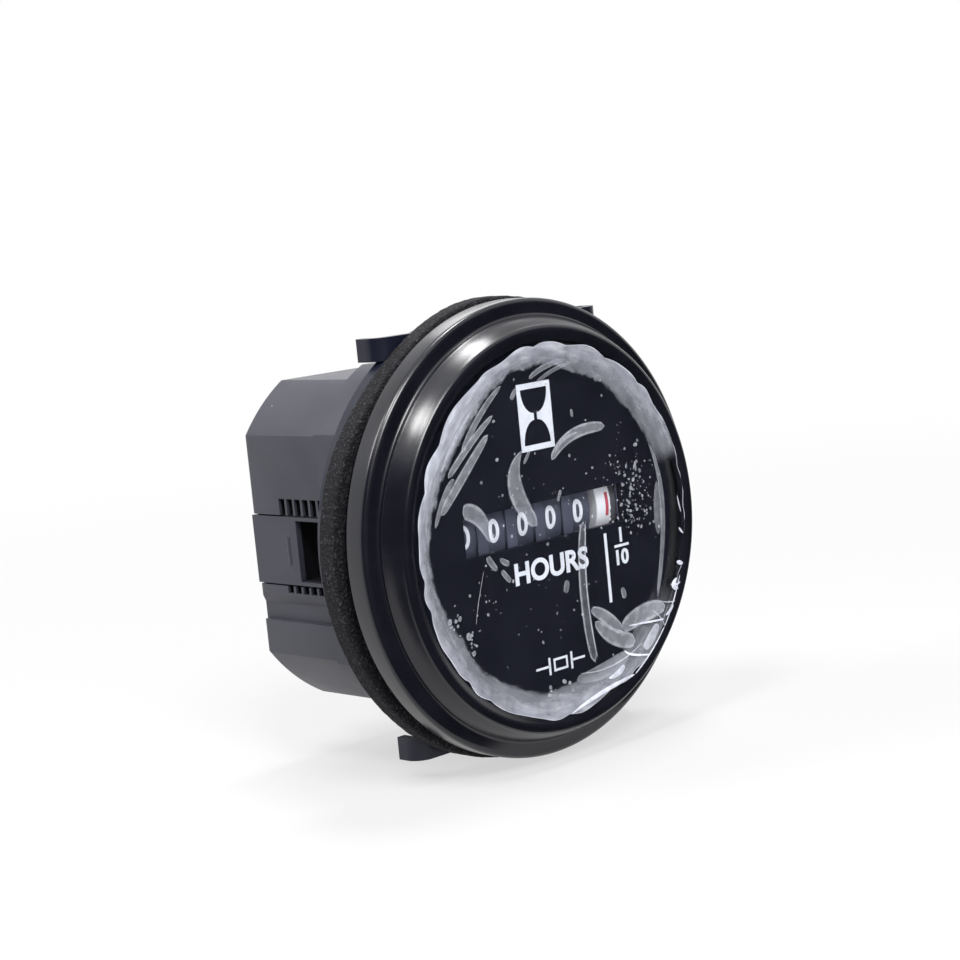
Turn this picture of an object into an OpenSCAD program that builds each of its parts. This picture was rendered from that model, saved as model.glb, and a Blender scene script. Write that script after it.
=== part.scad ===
// Round panel hour meter. Millimetres, +Z up, the dial faces -Y.
// The origin is on the dial's axis, in the plane where the gasket meets the panel.

/* [Panel] */
// Diameter of the round hole in the panel
panel_hole_d = 52; // [50:0.5:54]
// Gap between the case and the panel hole, on the radius
hole_clearance = 0.25; // [0.1:0.05:0.6]

/* [Bezel] */
// Outer diameter of the bezel's flange
bezel_d = 60; // [59:0.25:64]
// Depth of the flange's cylindrical edge
flange_t = 3.55; // [3:0.05:5]
// Diameter of the recessed neck behind the flange
neck_d = 57.2; // [56:0.2:58.6]
// Length of the neck between flange and gasket
neck_len = 1.7; // [1:0.1:3]
// Diameter of the small step on the bezel's front
step_d = 56.3; // [56:0.1:57.4]
// Height of the sloped front face, from flange edge to step
slope_rise = 0.5; // [0.2:0.05:0.7]
// Height of the small step
step_rise = 0.5; // [0.3:0.05:0.7]
// Diameter of the round bead's crest
crest_d = 51.7; // [51.2:0.1:52]
// Radius of the round bead
bead_r = 1.6; // [1.4:0.05:1.7]
// Height of the bead's crest in front of the flange edge
crest_rise = 3.5; // [3.3:0.05:4]
// Clear diameter inside the lip that holds the lens
sight_d = 48.8; // [47:0.1:49.4]
// Drop from the bead's crest to the lip
lip_drop = 0.45; // [0.3:0.05:0.6]
// Thickness of the lip
lip_t = 0.6; // [0.5:0.05:0.8]
// Chamfer on the flange's edges
edge_chamfer = 0.3; // [0.1:0.05:0.5]
// Angle of the moulding notch in the flange's rear edge
notch_angle = 146.5; // [100:0.5:170]
// Width of the moulding notch
notch_w = 1.6; // [1:0.1:3]

/* [Gasket] */
// How far the foam gasket stands out past the flange, on the radius
gasket_proud = 0.65; // [0:0.05:1]
// Thickness of the foam gasket
gasket_t = 3; // [2:0.1:4]
// Gap between the gasket's hole and the case, on the radius
gasket_gap = 0.45; // [0.2:0.05:0.8]

/* [Lens and dial] */
// Thickness of the lens
lens_t = 0.9; // [0.7:0.05:1.2]
// Gap round the lens, seal and dial inside the bezel
lens_gap = 0.1; // [0.05:0.01:0.2]
// Thickness of the seal between lens and dial
seal_t = 0.4; // [0.3:0.05:0.6]
// Width of the seal ring
seal_w = 1.6; // [1:0.1:2]
// Thickness of the protective film
film_t = 0.08; // [0.05:0.01:0.15]
// Diameter over which the film lies flat on the lens
film_flat_d = 43.6; // [40:0.2:46]
// Outer diameter of the film
film_d = 49.4; // [49:0.1:49.6]
// Thickness of the dial plate
dial_t = 0.8; // [0.5:0.05:1]
// Width of the counter window
window_w = 29.1; // [28:0.1:31]
// Sideways offset of the counter window from the dial's centre
window_x = 0.15; // [-0.5:0.05:0.5]
// Height of the counter window
window_h = 5.15; // [4.5:0.05:6]
// Height of the dial print above the plate
print_t = 0.05; // [0.03:0.01:0.1]
// Width of the hourglass card
card_w = 6.04; // [5:0.02:8]
// Height of the hourglass card
card_h = 8.74; // [7:0.02:10]
// Height of the card's middle above the dial's centre
card_z = 14.76; // [13:0.02:16]
// Width of the pointer bar and the fraction line
bar_w = 0.5; // [0.3:0.02:0.8]
// Length of the pointer bar
bar_len = 9.36; // [7:0.02:10]
// Distance of the pointer bar from the dial's centre
bar_x = 10.82; // [9:0.02:12]

/* [Case] */
// Width of the case across its side flats
case_w = 41.1; // [40.6:0.1:41.6]
// Height of the case across its top and bottom flats
case_h = 43.6; // [42:0.1:44.4]
// Height of the case's middle, above the dial's centre
case_z = -0.4; // [-0.6:0.1:0]
// How far the case's round corners stay inside its front part, on the radius
corner_step = 0.4; // [0.2:0.05:1]
// Depth of the case behind the panel plane
case_depth = 25.8; // [25:0.1:29]
// Rounding of the case's rear edge
rear_r = 0.8; // [0.6:0.1:1.6]
// Width of the front part of the case across its side flats
spigot_w = 41.7; // [41.7:0.1:42.2]
// Height of the front part of the case across its top and bottom flats
spigot_h = 46.2; // [45:0.1:47]
// Length of the front part behind the panel plane
spigot_len = 10.5; // [9:0.1:12]
// Thickness of the case's walls
wall = 1.8; // [1.5:0.05:2.2]

/* [Clamp] */
// Width of the clamp's side arms
arm_w = 9.2; // [8:0.1:10]
// Thickness of the arms
arm_t = 0.85; // [0.7:0.05:1]
// Height of the arms' middle, above the dial's centre
arm_z = -0.6; // [-1:0.1:0]
// Gap between an arm and its channel
arm_gap = 0.2; // [0.15:0.01:0.3]
// Front end of the window in each arm
arm_window_front = 7; // [6.5:0.1:8]
// Rear end of the window in each arm
arm_window_rear = 16.6; // [15:0.1:17.5]
// Width of the rails beside the window
rail_w = 0.5; // [0.4:0.05:0.8]
// Width across the clamp's ears
ear_w = 41.4; // [38:0.1:44]
// Sideways offset of the ears from the dial's axis
ear_x = 3.4; // [0:0.05:3.5]
// Height across the clamp's ears
ear_h = 55.1; // [54:0.1:56]
// Height of an ear's bar
ear_bar = 3; // [2.4:0.1:3.2]
// Length of an ear's turned-back end
ear_tail = 3.9; // [3:0.1:6]
// Thickness of the clamp's ring
ring_t = 1.8; // [1.4:0.1:2.4]
// How far the clamp's ring stays inside the gasket, on the radius
ring_inset = 1.9; // [0.5:0.1:2]
// Gap between the clamp and the gasket at rest
clamp_gap = 0.3; // [0.3:0.05:1]
// Gap between the clamp's ring and the case
ring_gap = 0.45; // [0.3:0.05:0.8]

/* [Racks] */
// Distance from one rack slot to the next
rack_pitch = 1.63; // [1.5:0.01:1.8]
// Width of a rack slot
rack_slot = 1.2; // [0.9:0.05:1.3]
// Number of slots in a rack
rack_count = 7; // [5:1:7]
// Rear end of the racks, behind the panel plane
rack_rear = 19.6; // [18.5:0.1:21]
// Depth of the rack slots
rack_depth = 1; // [0.6:0.05:1.1]
// Height of the upper rack's slots
rack_upper_h = 2.2; // [1.5:0.05:2.5]
// Height of the lower rack's slots
rack_lower_h = 0.95; // [0.6:0.05:1.2]

/* [Counter] */
// Distance from one number drum to the next
drum_pitch = 5.16; // [5.1:0.01:5.2]
// Radius of the number drums
drum_r = 7; // [6.9:0.02:7.1]
// Width of a drum's number rim
rim_w = 3.86; // [3.7:0.02:3.9]
// Width of a drum's gear
gear_w = 0.55; // [0.45:0.01:0.58]
// Width of a drum's carry disc
carry_w = 0.5; // [0.4:0.01:0.55]
// Radius of a drum's carry disc
carry_r = 5.2; // [4.6:0.05:5.3]
// Gap between the dial's back and the drums
drum_gap = 0.4; // [0.3:0.05:0.8]
// Height of the drum shaft and window above the dial's centre
drum_z = 1.08; // [0.8:0.02:1.3]
// Radius of the drum shaft
drum_shaft_r = 1; // [0.8:0.05:1.2]
// Radius of the pinion shaft
pinion_shaft_r = 0.8; // [0.6:0.05:0.85]
// Radial running clearance on the shafts
run_fit = 0.05; // [0.03:0.01:0.08]
// Gear module of the drum gears and carry pinions
drum_module = 0.6; // [0.6:0.005:0.62]
// Gear module of the reduction wheels
train_module = 0.3; // [0.29:0.005:0.305]
// Extra distance between meshing gears
mesh_play = 0.1; // [0.06:0.01:0.14]
// Thickness of the counter frame's plates
frame_t = 0.9; // [0.8:0.05:1]
// Gap between the drums and the frame's side plates
frame_gap = 0.27; // [0.2:0.01:0.35]

/* [Motor and board] */
// Radius of the rotor's magnet
rotor_r = 2; // [1.8:0.05:2.1]
// Length of the rotor's magnet
rotor_len = 2.8; // [2.4:0.1:3]
// Thickness of the stator plate
stator_t = 0.8; // [0.6:0.05:1]
// Radius of the coil
coil_r = 2.4; // [2.1:0.05:2.5]
// Length of the coil
coil_len = 9; // [7:0.1:10]
// Thickness of the circuit board
board_t = 1.2; // [1:0.1:1.6]
// Width of the circuit board
board_w = 31; // [30:0.5:33]
// Height of the circuit board
board_h = 31; // [30:0.5:32]
// Gap between the board and the rear wall
board_gap = 2.2; // [2:0.1:2.6]

/* [Terminals] */
// Width of a blade terminal
blade_w = 6.3; // [4.8:0.1:6.3]
// Thickness of a blade terminal
blade_t = 0.8; // [0.5:0.05:0.8]
// Length of a blade behind the case
blade_len = 8; // [6.5:0.1:9]
// Distance between the two blades
blade_pitch = 12.7; // [11:0.1:14]

/* [Hidden] */
$fn = 96;
cut = 1;

// Planes along the dial's axis
y_neck = -gasket_t;
y_flange_rear = y_neck - neck_len;
y_flange_front = y_flange_rear - flange_t;
y_crest = y_flange_front - crest_rise;
y_lip = y_crest + lip_drop;
y_lens = y_lip + lip_t;
y_seal = y_lens + lens_t;
y_dial = y_seal + seal_t;
y_case = y_dial + dial_t;
y_board = case_depth - wall - board_gap - board_t;

// Round sizes
gasket_d = bezel_d + 2 * gasket_proud;
ring_d = gasket_d - 2 * ring_inset;
spigot_r = panel_hole_d / 2 - hole_clearance;
case_r = spigot_r - corner_step;
bore_gap = 0.05;
bore_r = spigot_r + bore_gap;
sealed_r = bore_r - lens_gap;
crest_r = crest_d / 2;
bead_y = y_crest + bead_r;

// Case cavity and side channels
side_wall = 2.45;
cavity_x = case_w / 2 - side_wall;
cavity_z = case_h / 2 - wall;
cavity_low = case_z - cavity_z;
nose_wall = 1.6;
arm_out = case_w / 2 - 0.05;
channel_x = arm_out - arm_t - arm_gap;
channel_h = arm_w + 2 * arm_gap;
pocket_depth = 2.2;
pocket_wall = 1.2;
pocket_x = channel_x - pocket_depth;
pocket_front = 11;
pocket_rear = arm_window_rear + 0.3;
pocket_h = arm_w - 2 * rail_w;
flute_depth = 0.8;
flute_top = -6.6;
flute_floor_top = -8;
flute_bottom = -10.3;

// Counter axes, in the plane across the dial's axis
drum_y = y_case + drum_gap + drum_r;
drum_teeth = 20;
pinion_teeth = 8;
mesh_d = drum_module * (drum_teeth + pinion_teeth) / 2 + mesh_play;
pinion_y = drum_y + mesh_d;
digits = 6;
rim_space = drum_pitch - rim_w;
pinion_end_gap = 0.12;
pinion_w = rim_space - 2 * pinion_end_gap;
tenths_x = drum_x(digits - 1);
gear_x = tenths_x + rim_w / 2;
plate_in = gear_x + gear_w + frame_gap;
plate_out = plate_in + frame_t;

// Reduction train from the rotor to the tenths drum
wheel_teeth = 30;
leaf_teeth = 10;
train_d = train_module * (wheel_teeth + leaf_teeth) / 2 + mesh_play * 0.6;
drive_dir = 45;
reduction_dir = 45;
rotor_dir = -30;
drive_y = drum_y + mesh_d * cos(drive_dir);
drive_z = drum_z + mesh_d * sin(drive_dir);
reduction_y = drive_y + train_d * cos(reduction_dir);
reduction_z = drive_z + train_d * sin(reduction_dir);
rotor_y = reduction_y + train_d * cos(rotor_dir);
rotor_z = reduction_z + train_d * sin(rotor_dir);
drive_x = gear_x + pinion_end_gap;
wheel_t = 0.6;
wheel_gap = 0.3;
outer_wheel_x = plate_out + wheel_gap;
inner_wheel_x = gear_x - 1.45;
arbor_r = 0.5;

// Tooth phases that put each pair in mesh at rest
drum_phase = 0;
pinion_phase = 180 / pinion_teeth;
drive_slip = (drive_dir - drum_phase) * drum_teeth / pinion_teeth;
drive_phase = drive_dir + 180 + 180 / pinion_teeth + drive_slip;
drive_wheel_phase = reduction_dir;
leaf_phase = reduction_dir + 180 + 180 / leaf_teeth;
wheel_phase = rotor_dir;
rotor_leaf_phase = rotor_dir + 180 + 180 / leaf_teeth;

// Frame floor, posts and motor
floor_z = drum_z - drum_r - 2.4;
floor_t = 1.2;
frame_front = drum_y - 4;
frame_rear = pinion_y + 2.3;
post_x = 12;
post_y = drum_y + 3.5;
post_r = 2.2;
screw_r = 0.8;
screw_head_r = 1.5;
screw_head_t = 0.9;
tongue_x0 = 4.6;
tongue_rear = y_board - 0.9;
bracket_x = 5.2;
bracket_t = 0.9;
core_y = rotor_y + 2.3;
stator_x = inner_wheel_x - 2.6;
stator_gap = 0.25;
core_w = 1.6;
coil_low = floor_z + 1.3;
coil_x = stator_x + stator_t / 2;
flange_disc = 0.5;
tube_r = 1.3;
board_edge = 3;
board_post = [board_w / 2 - board_edge, board_h / 2 - board_edge];
screw_spare = 0.4;
frame_screw_len = 3.6;
bracket_r = 2.5;
collar_wall = 1.2;
collar_t = 1;
lobe_r = 2;
rim_t = 1.1;
web_gap = 0.8;
hub_wall = 1;
carry_notch = 0.65;

// Parts on the board's front
chip_w = 5;
chip_t = 1.5;
cap_r = 2.5;
cap_len = 6.5;
diode_r = 1.25;
diode_len = 5;
resistor_r = 0.8;
resistor_len = 3.6;
can_r = 1.05;
can_len = 6.2;
parts_inset = 2.5;
can_inset = 6.5;
cap_inset = 6.5;
parts_x = parts_inset - board_w / 2;
cap_z = cap_inset - board_h / 2;
can_z = board_h / 2 - can_inset;

// Rows of board parts, spaced evenly between the lower and the upper screw heads
row_h = [2 * diode_r, chip_w, 2 * resistor_r, 2 * resistor_r];
row_low = board_edge + screw_head_r - board_h / 2;
row_gap = (-2 * row_low - total(row_h, len(row_h))) / (len(row_h) + 1);

// Blade holes, printed marks and the clamp's thumb ribs
blade_hole_r = 0.85;
blade_hole_inset = 3;
print_drop = 1.05;
fraction_x = bar_x + 3;
fraction_drop = 3.15;
fraction_w = 2.8;
rib_len = 3.6;
rib_r = 0.5;
rib_sink = 0.3;
rib_inset = 1.9;

// A pair of limits round a middle value
function span(middle, half) = [middle - half, middle + half];

// Sum of a list's first n values
function total(v, n) = n < 1 ? 0 : v[n - 1] + total(v, n - 1);

// Height of a row of board parts
function row_z(n) = row_low + (n + 1) * row_gap + total(row_h, n) + row_h[n] / 2;

// Middle of number drum i along the counter
function drum_x(i) = (i - (digits - 1) / 2) * drum_pitch;

// Half an outline of the case's body, from its middle out to one side, in reach and Y
function body_half(reach) = let (near = rear_r * 0.3) [
    [0, spigot_len - cut], [reach, spigot_len - cut], [reach, case_depth - rear_r],
    [reach - near, case_depth - near], [reach - rear_r, case_depth], [0, case_depth]
];

// Outline of a gear whose teeth have straight flanks, one tooth at the phase angle
function gear_points(teeth, module_size, phase, share = 0.38) = [
    for (i = [0 : teeth - 1])
        let (half = share * 180 / teeth)
        let (pitch_r = teeth * module_size / 2)
        let (tip = pitch_r + 0.8 * module_size)
        let (root = pitch_r - 1.1 * module_size)
        for (k = [[root, -1.35], [tip, -0.55], [tip, 0.55], [root, 1.35]])
            let (a = phase + i * 360 / teeth + k[1] * half)
            k[0] * [cos(a), sin(a)]
];

// Extrudes an outline given in X and Z from y0 towards +Y
module facing(y0, len) {
    translate([0, y0 + len, 0])
        rotate([90, 0, 0])
            linear_extrude(len)
                children();
}

// Extrudes an outline given in Y and Z from x0 towards +X
module across(x0, len) {
    translate([x0, 0, 0])
        rotate([90, 0, 90])
            linear_extrude(len)
                children();
}

// Turns an outline given in radius and Y about the dial's axis
module turned() {
    rotate([-90, 0, 0])
        rotate_extrude()
            children();
}

// Turns an outline given in radius and X about an axis along X
module turned_across(y, z) {
    translate([0, y, z])
        rotate([0, 90, 0])
            rotate_extrude()
                children();
}

module rod_across(x0, len, r, y, z) {
    translate([x0, y, z])
        rotate([0, 90, 0])
            cylinder(h = len, r = r);
}

module rod_facing(y0, len, r, x, z) {
    translate([x, y0, z])
        rotate([-90, 0, 0])
            cylinder(h = len, r = r);
}

module block(x, y, z) {
    translate([x[0], y[0], z[0]])
        cube([x[1] - x[0], y[1] - y[0], z[1] - z[0]]);
}

module ring_profile(r0, r1, y0, y1) {
    translate([r0, y0])
        square([r1 - r0, y1 - y0]);
}

module gear(teeth, module_size, phase, x0, len, y, z) {
    translate([0, y, z])
        across(x0, len)
            polygon(gear_points(teeth, module_size, phase));
}

module both_sides() {
    children();
    mirror([1, 0, 0])
        children();
}

module spigot_outline(extra = 0) {
    intersection() {
        circle(r = spigot_r + extra);
        square([spigot_w + 2 * extra, spigot_h + 2 * extra], center = true);
    }
}

module bezel_profile() {
    y_step = y_flange_front - slope_rise;
    y_land = y_step - step_rise;
    land_w = 0.45;
    groove = 0.15;
    r = bezel_d / 2;
    step_r = step_d / 2;
    foot_r = crest_r + bead_r - 0.15;
    polygon([
        [bore_r, y_neck],
        [neck_d / 2, y_neck],
        [neck_d / 2, y_flange_rear],
        [r - edge_chamfer, y_flange_rear],
        [r, y_flange_rear - edge_chamfer],
        [r, y_flange_front + edge_chamfer],
        [r - edge_chamfer, y_flange_front],
        [step_r, y_step],
        [step_r - edge_chamfer / 2, y_land],
        [step_r - land_w, y_land - groove],
        [foot_r, y_land],
        [crest_r + bead_r / 2, bead_y - bead_r / 2],
        [crest_r - bead_r / 2, y_lip],
        [sight_d / 2, y_lip],
        [sight_d / 2, y_lens],
        [bore_r, y_lens]
    ]);
}

module bezel() {
    color("#101116")
        difference() {
            union() {
                turned()
                    bezel_profile();
                turned()
                    translate([crest_r, bead_y])
                        circle(r = bead_r);
            }
            turned()
                ring_profile(0, bore_r, y_lens, cut);
            turned()
                ring_profile(0, sight_d / 2, y_crest - cut, cut);
            rotate([0, -notch_angle, 0])
                block(
                    [bezel_d / 2 - notch_w / 2, bezel_d],
                    [y_flange_rear - notch_w / 2, y_flange_rear + cut],
                    span(0, notch_w / 2)
                );
        }
}

module panel_gasket() {
    color("#1c1c1e")
        turned()
            ring_profile(spigot_r + gasket_gap, gasket_d / 2, y_neck, 0);
}

module lens() {
    color("#dfe6ee", 0.3)
        turned()
            ring_profile(0, sealed_r, y_lens, y_seal);
}

module protective_film() {
    fold_r = sight_d / 2 - 0.05;
    color("#e8ebf4", 0.35)
        turned()
            polygon([
                [0, y_lens],
                [film_flat_d / 2, y_lens],
                [fold_r, y_lip],
                [film_d / 2, y_lip],
                [film_d / 2, y_lip - film_t],
                [fold_r - film_t / 2, y_lip - film_t],
                [film_flat_d / 2, y_lens - film_t],
                [0, y_lens - film_t]
            ]);
}

module lens_seal() {
    color("#18181a")
        turned()
            ring_profile(sealed_r - seal_w, sealed_r, y_seal, y_dial);
}

module dial_plate() {
    color("#14151c")
        difference() {
            facing(y_dial, dial_t)
                circle(r = sealed_r);
            translate([window_x, 0, drum_z])
                facing(y_dial - cut, dial_t + 2 * cut)
                    square([window_w, window_h], center = true);
        }
}

// Half outline of an hourglass, from its waist up
function bulb(side) = [
    for (t = [0 : 0.125 : 1])
        let (waist = 0.3)
        let (half_w = card_w / 2 - 0.62)
        let (top = card_h / 2 - 0.75)
        [side * (waist + (half_w - waist) * sin(90 * t)), 0.45 + (top - 0.45) * (1 - cos(90 * t))]
];

module hourglass_outline() {
    for (flip = [0, 1])
        mirror([0, flip])
            polygon(concat([[-0.3, 0], [0.3, 0]], bulb(1), [for (i = [8 : -1 : 0]) bulb(-1)[i]]));
}

module dial_print() {
    color("#f2f4f6")
        facing(y_dial - print_t, print_t) {
            translate([0, card_z])
                difference() {
                    square([card_w, card_h], center = true);
                    hourglass_outline();
                }
            translate([bar_x, drum_z - window_h / 2 - print_drop - bar_len / 2])
                square([bar_w, bar_len], center = true);
            translate([fraction_x, drum_z - window_h / 2 - fraction_drop])
                square([fraction_w, bar_w * 0.7], center = true);
        }
}

// A round bar with side, top and bottom flats and eased rear edges
module case_body() {
    intersection() {
        turned()
            polygon(body_half(case_r));
        translate([0, 0, -case_h])
            linear_extrude(2 * case_h)
                both_sides()
                    polygon(body_half(case_w / 2));
        across(-case_w, 2 * case_w)
            for (side = [-1, 1])
                polygon([for (p = body_half(case_h / 2 + side * case_z)) [p[1], side * p[0]]]);
    }
}

module case_shell() {
    facing(y_case, y_neck - y_case)
        circle(r = spigot_r);
    facing(y_neck, spigot_len - y_neck)
        spigot_outline();
    case_body();
    for (side = [-1, 1])
        block(
            span(side * blade_pitch / 2, blade_t / 2 + collar_wall),
            [case_depth - cut, case_depth + collar_t],
            span(0, blade_w / 2 + collar_wall)
        );
}

module case_cavity() {
    facing(y_case - cut, y_neck - y_case + cut)
        circle(r = spigot_r - nose_wall);
    facing(y_neck - cut, case_depth - wall - y_neck + cut)
        intersection() {
            translate([0, case_z])
                square([2 * cavity_x, 2 * cavity_z], center = true);
            circle(r = case_r - wall);
        }
}

module side_cuts() {
    far = case_w;
    block([channel_x, far], [0.2, case_depth + cut], span(arm_z, channel_h / 2));
    block([pocket_x, far], [pocket_front, pocket_rear], span(arm_z, pocket_h / 2));
    rack_top = arm_z + channel_h / 2;
    rack_bottom = arm_z - channel_h / 2;
    for (i = [0 : rack_count - 1]) {
        y = rack_rear - i * rack_pitch;
        block(
            [case_w / 2 - rack_depth, far],
            [y - rack_slot, y],
            [rack_bottom - rack_lower_h, rack_top + rack_upper_h]
        );
    }
    facing(spigot_len, case_depth)
        polygon([
            [far, flute_top + 0.1],
            [case_w / 2, flute_top],
            [case_w / 2 - flute_depth, flute_floor_top],
            [case_w / 2 - flute_depth, flute_bottom],
            [far, flute_bottom]
        ]);
}

module rear_case() {
    color("#3b3d47")
        difference() {
            union() {
                difference() {
                    case_shell();
                    case_cavity();
                }
                both_sides()
                    block(
                        [pocket_x - pocket_wall, cavity_x + cut],
                        [pocket_front - pocket_wall, pocket_rear + pocket_wall],
                        span(arm_z, pocket_h / 2 + pocket_wall)
                    );
                for (x = [-1, 1] * board_post[0], z = [-1, 1] * board_post[1])
                    rod_facing(y_board + board_t, case_depth - wall / 2 - y_board - board_t, post_r, x, z);
                for (x = [-post_x, post_x])
                    translate([x, post_y, cavity_low - wall / 2])
                        cylinder(h = floor_z - floor_t - cavity_low + wall / 2, r = post_r);
            }
            both_sides()
                side_cuts();
            for (side = [-1, 1])
                block(
                    span(side * blade_pitch / 2, blade_t / 2 + run_fit),
                    [case_depth - wall - cut, case_depth + 2 * cut],
                    [-blade_w / 2 - run_fit, blade_w / 2 + run_fit]
                );
            for (x = [-1, 1] * board_post[0], z = [-1, 1] * board_post[1])
                rod_facing(y_board, board_t + board_gap, screw_r + run_fit, x, z);
            for (x = [-post_x, post_x])
                translate([x, post_y, floor_z - floor_t - frame_screw_len - screw_spare])
                    cylinder(h = frame_screw_len + screw_spare + cut, r = screw_r + run_fit);
        }
}

// One ear: a straight bar whose end turns back from the panel
module ear_plan() {
    turn_r = 2.4;
    bar_t = 1.3;
    half = ear_w / 2;
    translate([0, clamp_gap])
        square([half - turn_r, bar_t]);
    translate([half - turn_r, clamp_gap + turn_r])
        intersection() {
            difference() {
                circle(r = turn_r);
                circle(r = turn_r - bar_t);
            }
            translate([0, -turn_r])
                square(turn_r);
        }
    translate([half - bar_t, clamp_gap + turn_r])
        square([bar_t, ear_tail - turn_r]);
}

module mounting_clamp() {
    color("#14182b") {
        difference() {
            union() {
                facing(clamp_gap, ring_t)
                    circle(r = ring_d / 2);
                for (side = [-1, 1])
                    translate([ear_x, 0, arm_z + side * (ear_h - ear_bar) / 2 - ear_bar / 2])
                        linear_extrude(ear_bar)
                            for (flip = [0, 1])
                                mirror([flip, 0])
                                    ear_plan();
            }
            facing(clamp_gap - cut, ring_t + ear_tail + 2 * cut)
                spigot_outline(ring_gap);
        }
        both_sides()
            difference() {
                union() {
                    block(
                        [arm_out - arm_t, arm_out],
                        [clamp_gap, case_depth],
                        span(arm_z, arm_w / 2)
                    );
                    block(
                        [arm_out - arm_t, spigot_w / 2 + ring_gap + cut],
                        [clamp_gap, clamp_gap + ring_t],
                        span(arm_z, arm_w / 2)
                    );
                    translate([arm_out - rib_sink, arm_window_rear + rib_inset, arm_z - rib_len / 2])
                        cylinder(h = rib_len, r = rib_r);
                }
                block(
                    [channel_x, case_w],
                    [arm_window_front, arm_window_rear],
                    span(arm_z, arm_w / 2 - rail_w)
                );
            }
    }
}

module plate_outline(extra_lobes) {
    difference() {
        union() {
            translate([frame_front, floor_z - floor_t])
                square([frame_rear - frame_front, drum_z + 4 - floor_z + floor_t]);
            if (extra_lobes)
                hull() {
                    translate([drive_y, drive_z])
                        circle(r = lobe_r);
                    translate([reduction_y, reduction_z])
                        circle(r = lobe_r);
                    translate([rotor_y, rotor_z])
                        circle(r = lobe_r);
                    translate([drum_y, drum_z + 2])
                        circle(r = lobe_r);
                }
        }
        translate([drum_y, drum_z])
            circle(r = drum_shaft_r);
        translate([pinion_y, drum_z])
            circle(r = pinion_shaft_r);
        if (extra_lobes)
            for (c = [[drive_y, drive_z], [reduction_y, reduction_z], [rotor_y, rotor_z]])
                translate(c)
                    circle(r = arbor_r + run_fit);
    }
}

module counter_frame() {
    color("#d8d4c8") {
        across(-plate_out, frame_t)
            plate_outline(false);
        across(plate_in, frame_t)
            plate_outline(true);
        difference() {
            union() {
                block([-plate_in, plate_in], [frame_front, frame_rear], [floor_z - floor_t, floor_z]);
                block([tongue_x0, plate_in], [frame_rear, tongue_rear], [floor_z - floor_t, floor_z]);
            }
            for (x = [-post_x, post_x])
                translate([x, post_y, floor_z - floor_t - cut])
                    cylinder(h = floor_t + 2 * cut, r = screw_r + run_fit);
        }
    }
}

module drum_shaft() {
    color("#b9bcc0")
        rod_across(-plate_out, 2 * plate_out, drum_shaft_r, drum_y, drum_z);
}

module pinion_shaft() {
    color("#b9bcc0")
        rod_across(-plate_out, 2 * plate_out, pinion_shaft_r, pinion_y, drum_z);
}

// A number drum: hollow rim, web and hub, a gear on its right and a notched carry disc on its left
module number_drum(i, shade) {
    x = drum_x(i);
    left = x - rim_w / 2;
    right = x + rim_w / 2;
    hub_r = drum_shaft_r + hub_wall;
    color(shade)
        difference() {
            union() {
                turned_across(drum_y, drum_z)
                    difference() {
                        ring_profile(0, drum_r, left, right);
                        ring_profile(hub_r, drum_r - rim_t, left + web_gap, right - web_gap);
                    }
                gear(drum_teeth, drum_module, drum_phase, right, gear_w, drum_y, drum_z);
                difference() {
                    rod_across(left - carry_w, carry_w, carry_r, drum_y, drum_z);
                    block(
                        [left - carry_w - cut, left],
                        [drum_y + carry_r - carry_notch, drum_y + drum_r],
                        span(drum_z, carry_notch)
                    );
                }
            }
            rod_across(left - cut, drum_pitch + 2 * cut, drum_shaft_r + run_fit, drum_y, drum_z);
        }
}

// A carry pinion in the gap to the right of drum i
module carry_pinion(i) {
    x = drum_x(i) + rim_w / 2 + pinion_end_gap;
    color("#e6e2d2")
        difference() {
            gear(pinion_teeth, drum_module, pinion_phase, x, pinion_w, pinion_y, drum_z);
            rod_across(x - cut, rim_space + 2 * cut, pinion_shaft_r + run_fit, pinion_y, drum_z);
        }
}

module drum_ten_thousands() { number_drum(0, "#2b2d35"); }
module drum_thousands() { number_drum(1, "#2b2d35"); }
module drum_hundreds() { number_drum(2, "#2b2d35"); }
module drum_tens() { number_drum(3, "#2b2d35"); }
module drum_ones() { number_drum(4, "#2b2d35"); }
module drum_tenths() { number_drum(5, "#f3f0ea"); }

module pinion_ten_thousands() { carry_pinion(0); }
module pinion_thousands() { carry_pinion(1); }
module pinion_hundreds() { carry_pinion(2); }
module pinion_tens() { carry_pinion(3); }
module pinion_ones() { carry_pinion(4); }

module drive_wheel() {
    color("#e6e2d2") {
        gear(pinion_teeth, drum_module, drive_phase, drive_x, gear_w, drive_y, drive_z);
        gear(wheel_teeth, train_module, drive_wheel_phase, outer_wheel_x, wheel_t, drive_y, drive_z);
        rod_across(drive_x, outer_wheel_x + wheel_t - drive_x, arbor_r, drive_y, drive_z);
    }
}

module reduction_wheel() {
    color("#c9b27a") {
        reach = outer_wheel_x + wheel_t - inner_wheel_x;
        gear(leaf_teeth, train_module, leaf_phase, outer_wheel_x, wheel_t, reduction_y, reduction_z);
        gear(wheel_teeth, train_module, wheel_phase, inner_wheel_x, wheel_t, reduction_y, reduction_z);
        rod_across(inner_wheel_x, reach, arbor_r, reduction_y, reduction_z);
    }
}

module motor_rotor() {
    magnet_x = stator_x + stator_t / 2 - rotor_len / 2;
    color("#4a4340") {
        rod_across(magnet_x, rotor_len, rotor_r, rotor_y, rotor_z);
        gear(leaf_teeth, train_module, rotor_leaf_phase, inner_wheel_x, wheel_t, rotor_y, rotor_z);
        rod_across(bracket_x, plate_out - bracket_x, arbor_r, rotor_y, rotor_z);
    }
}

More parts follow.
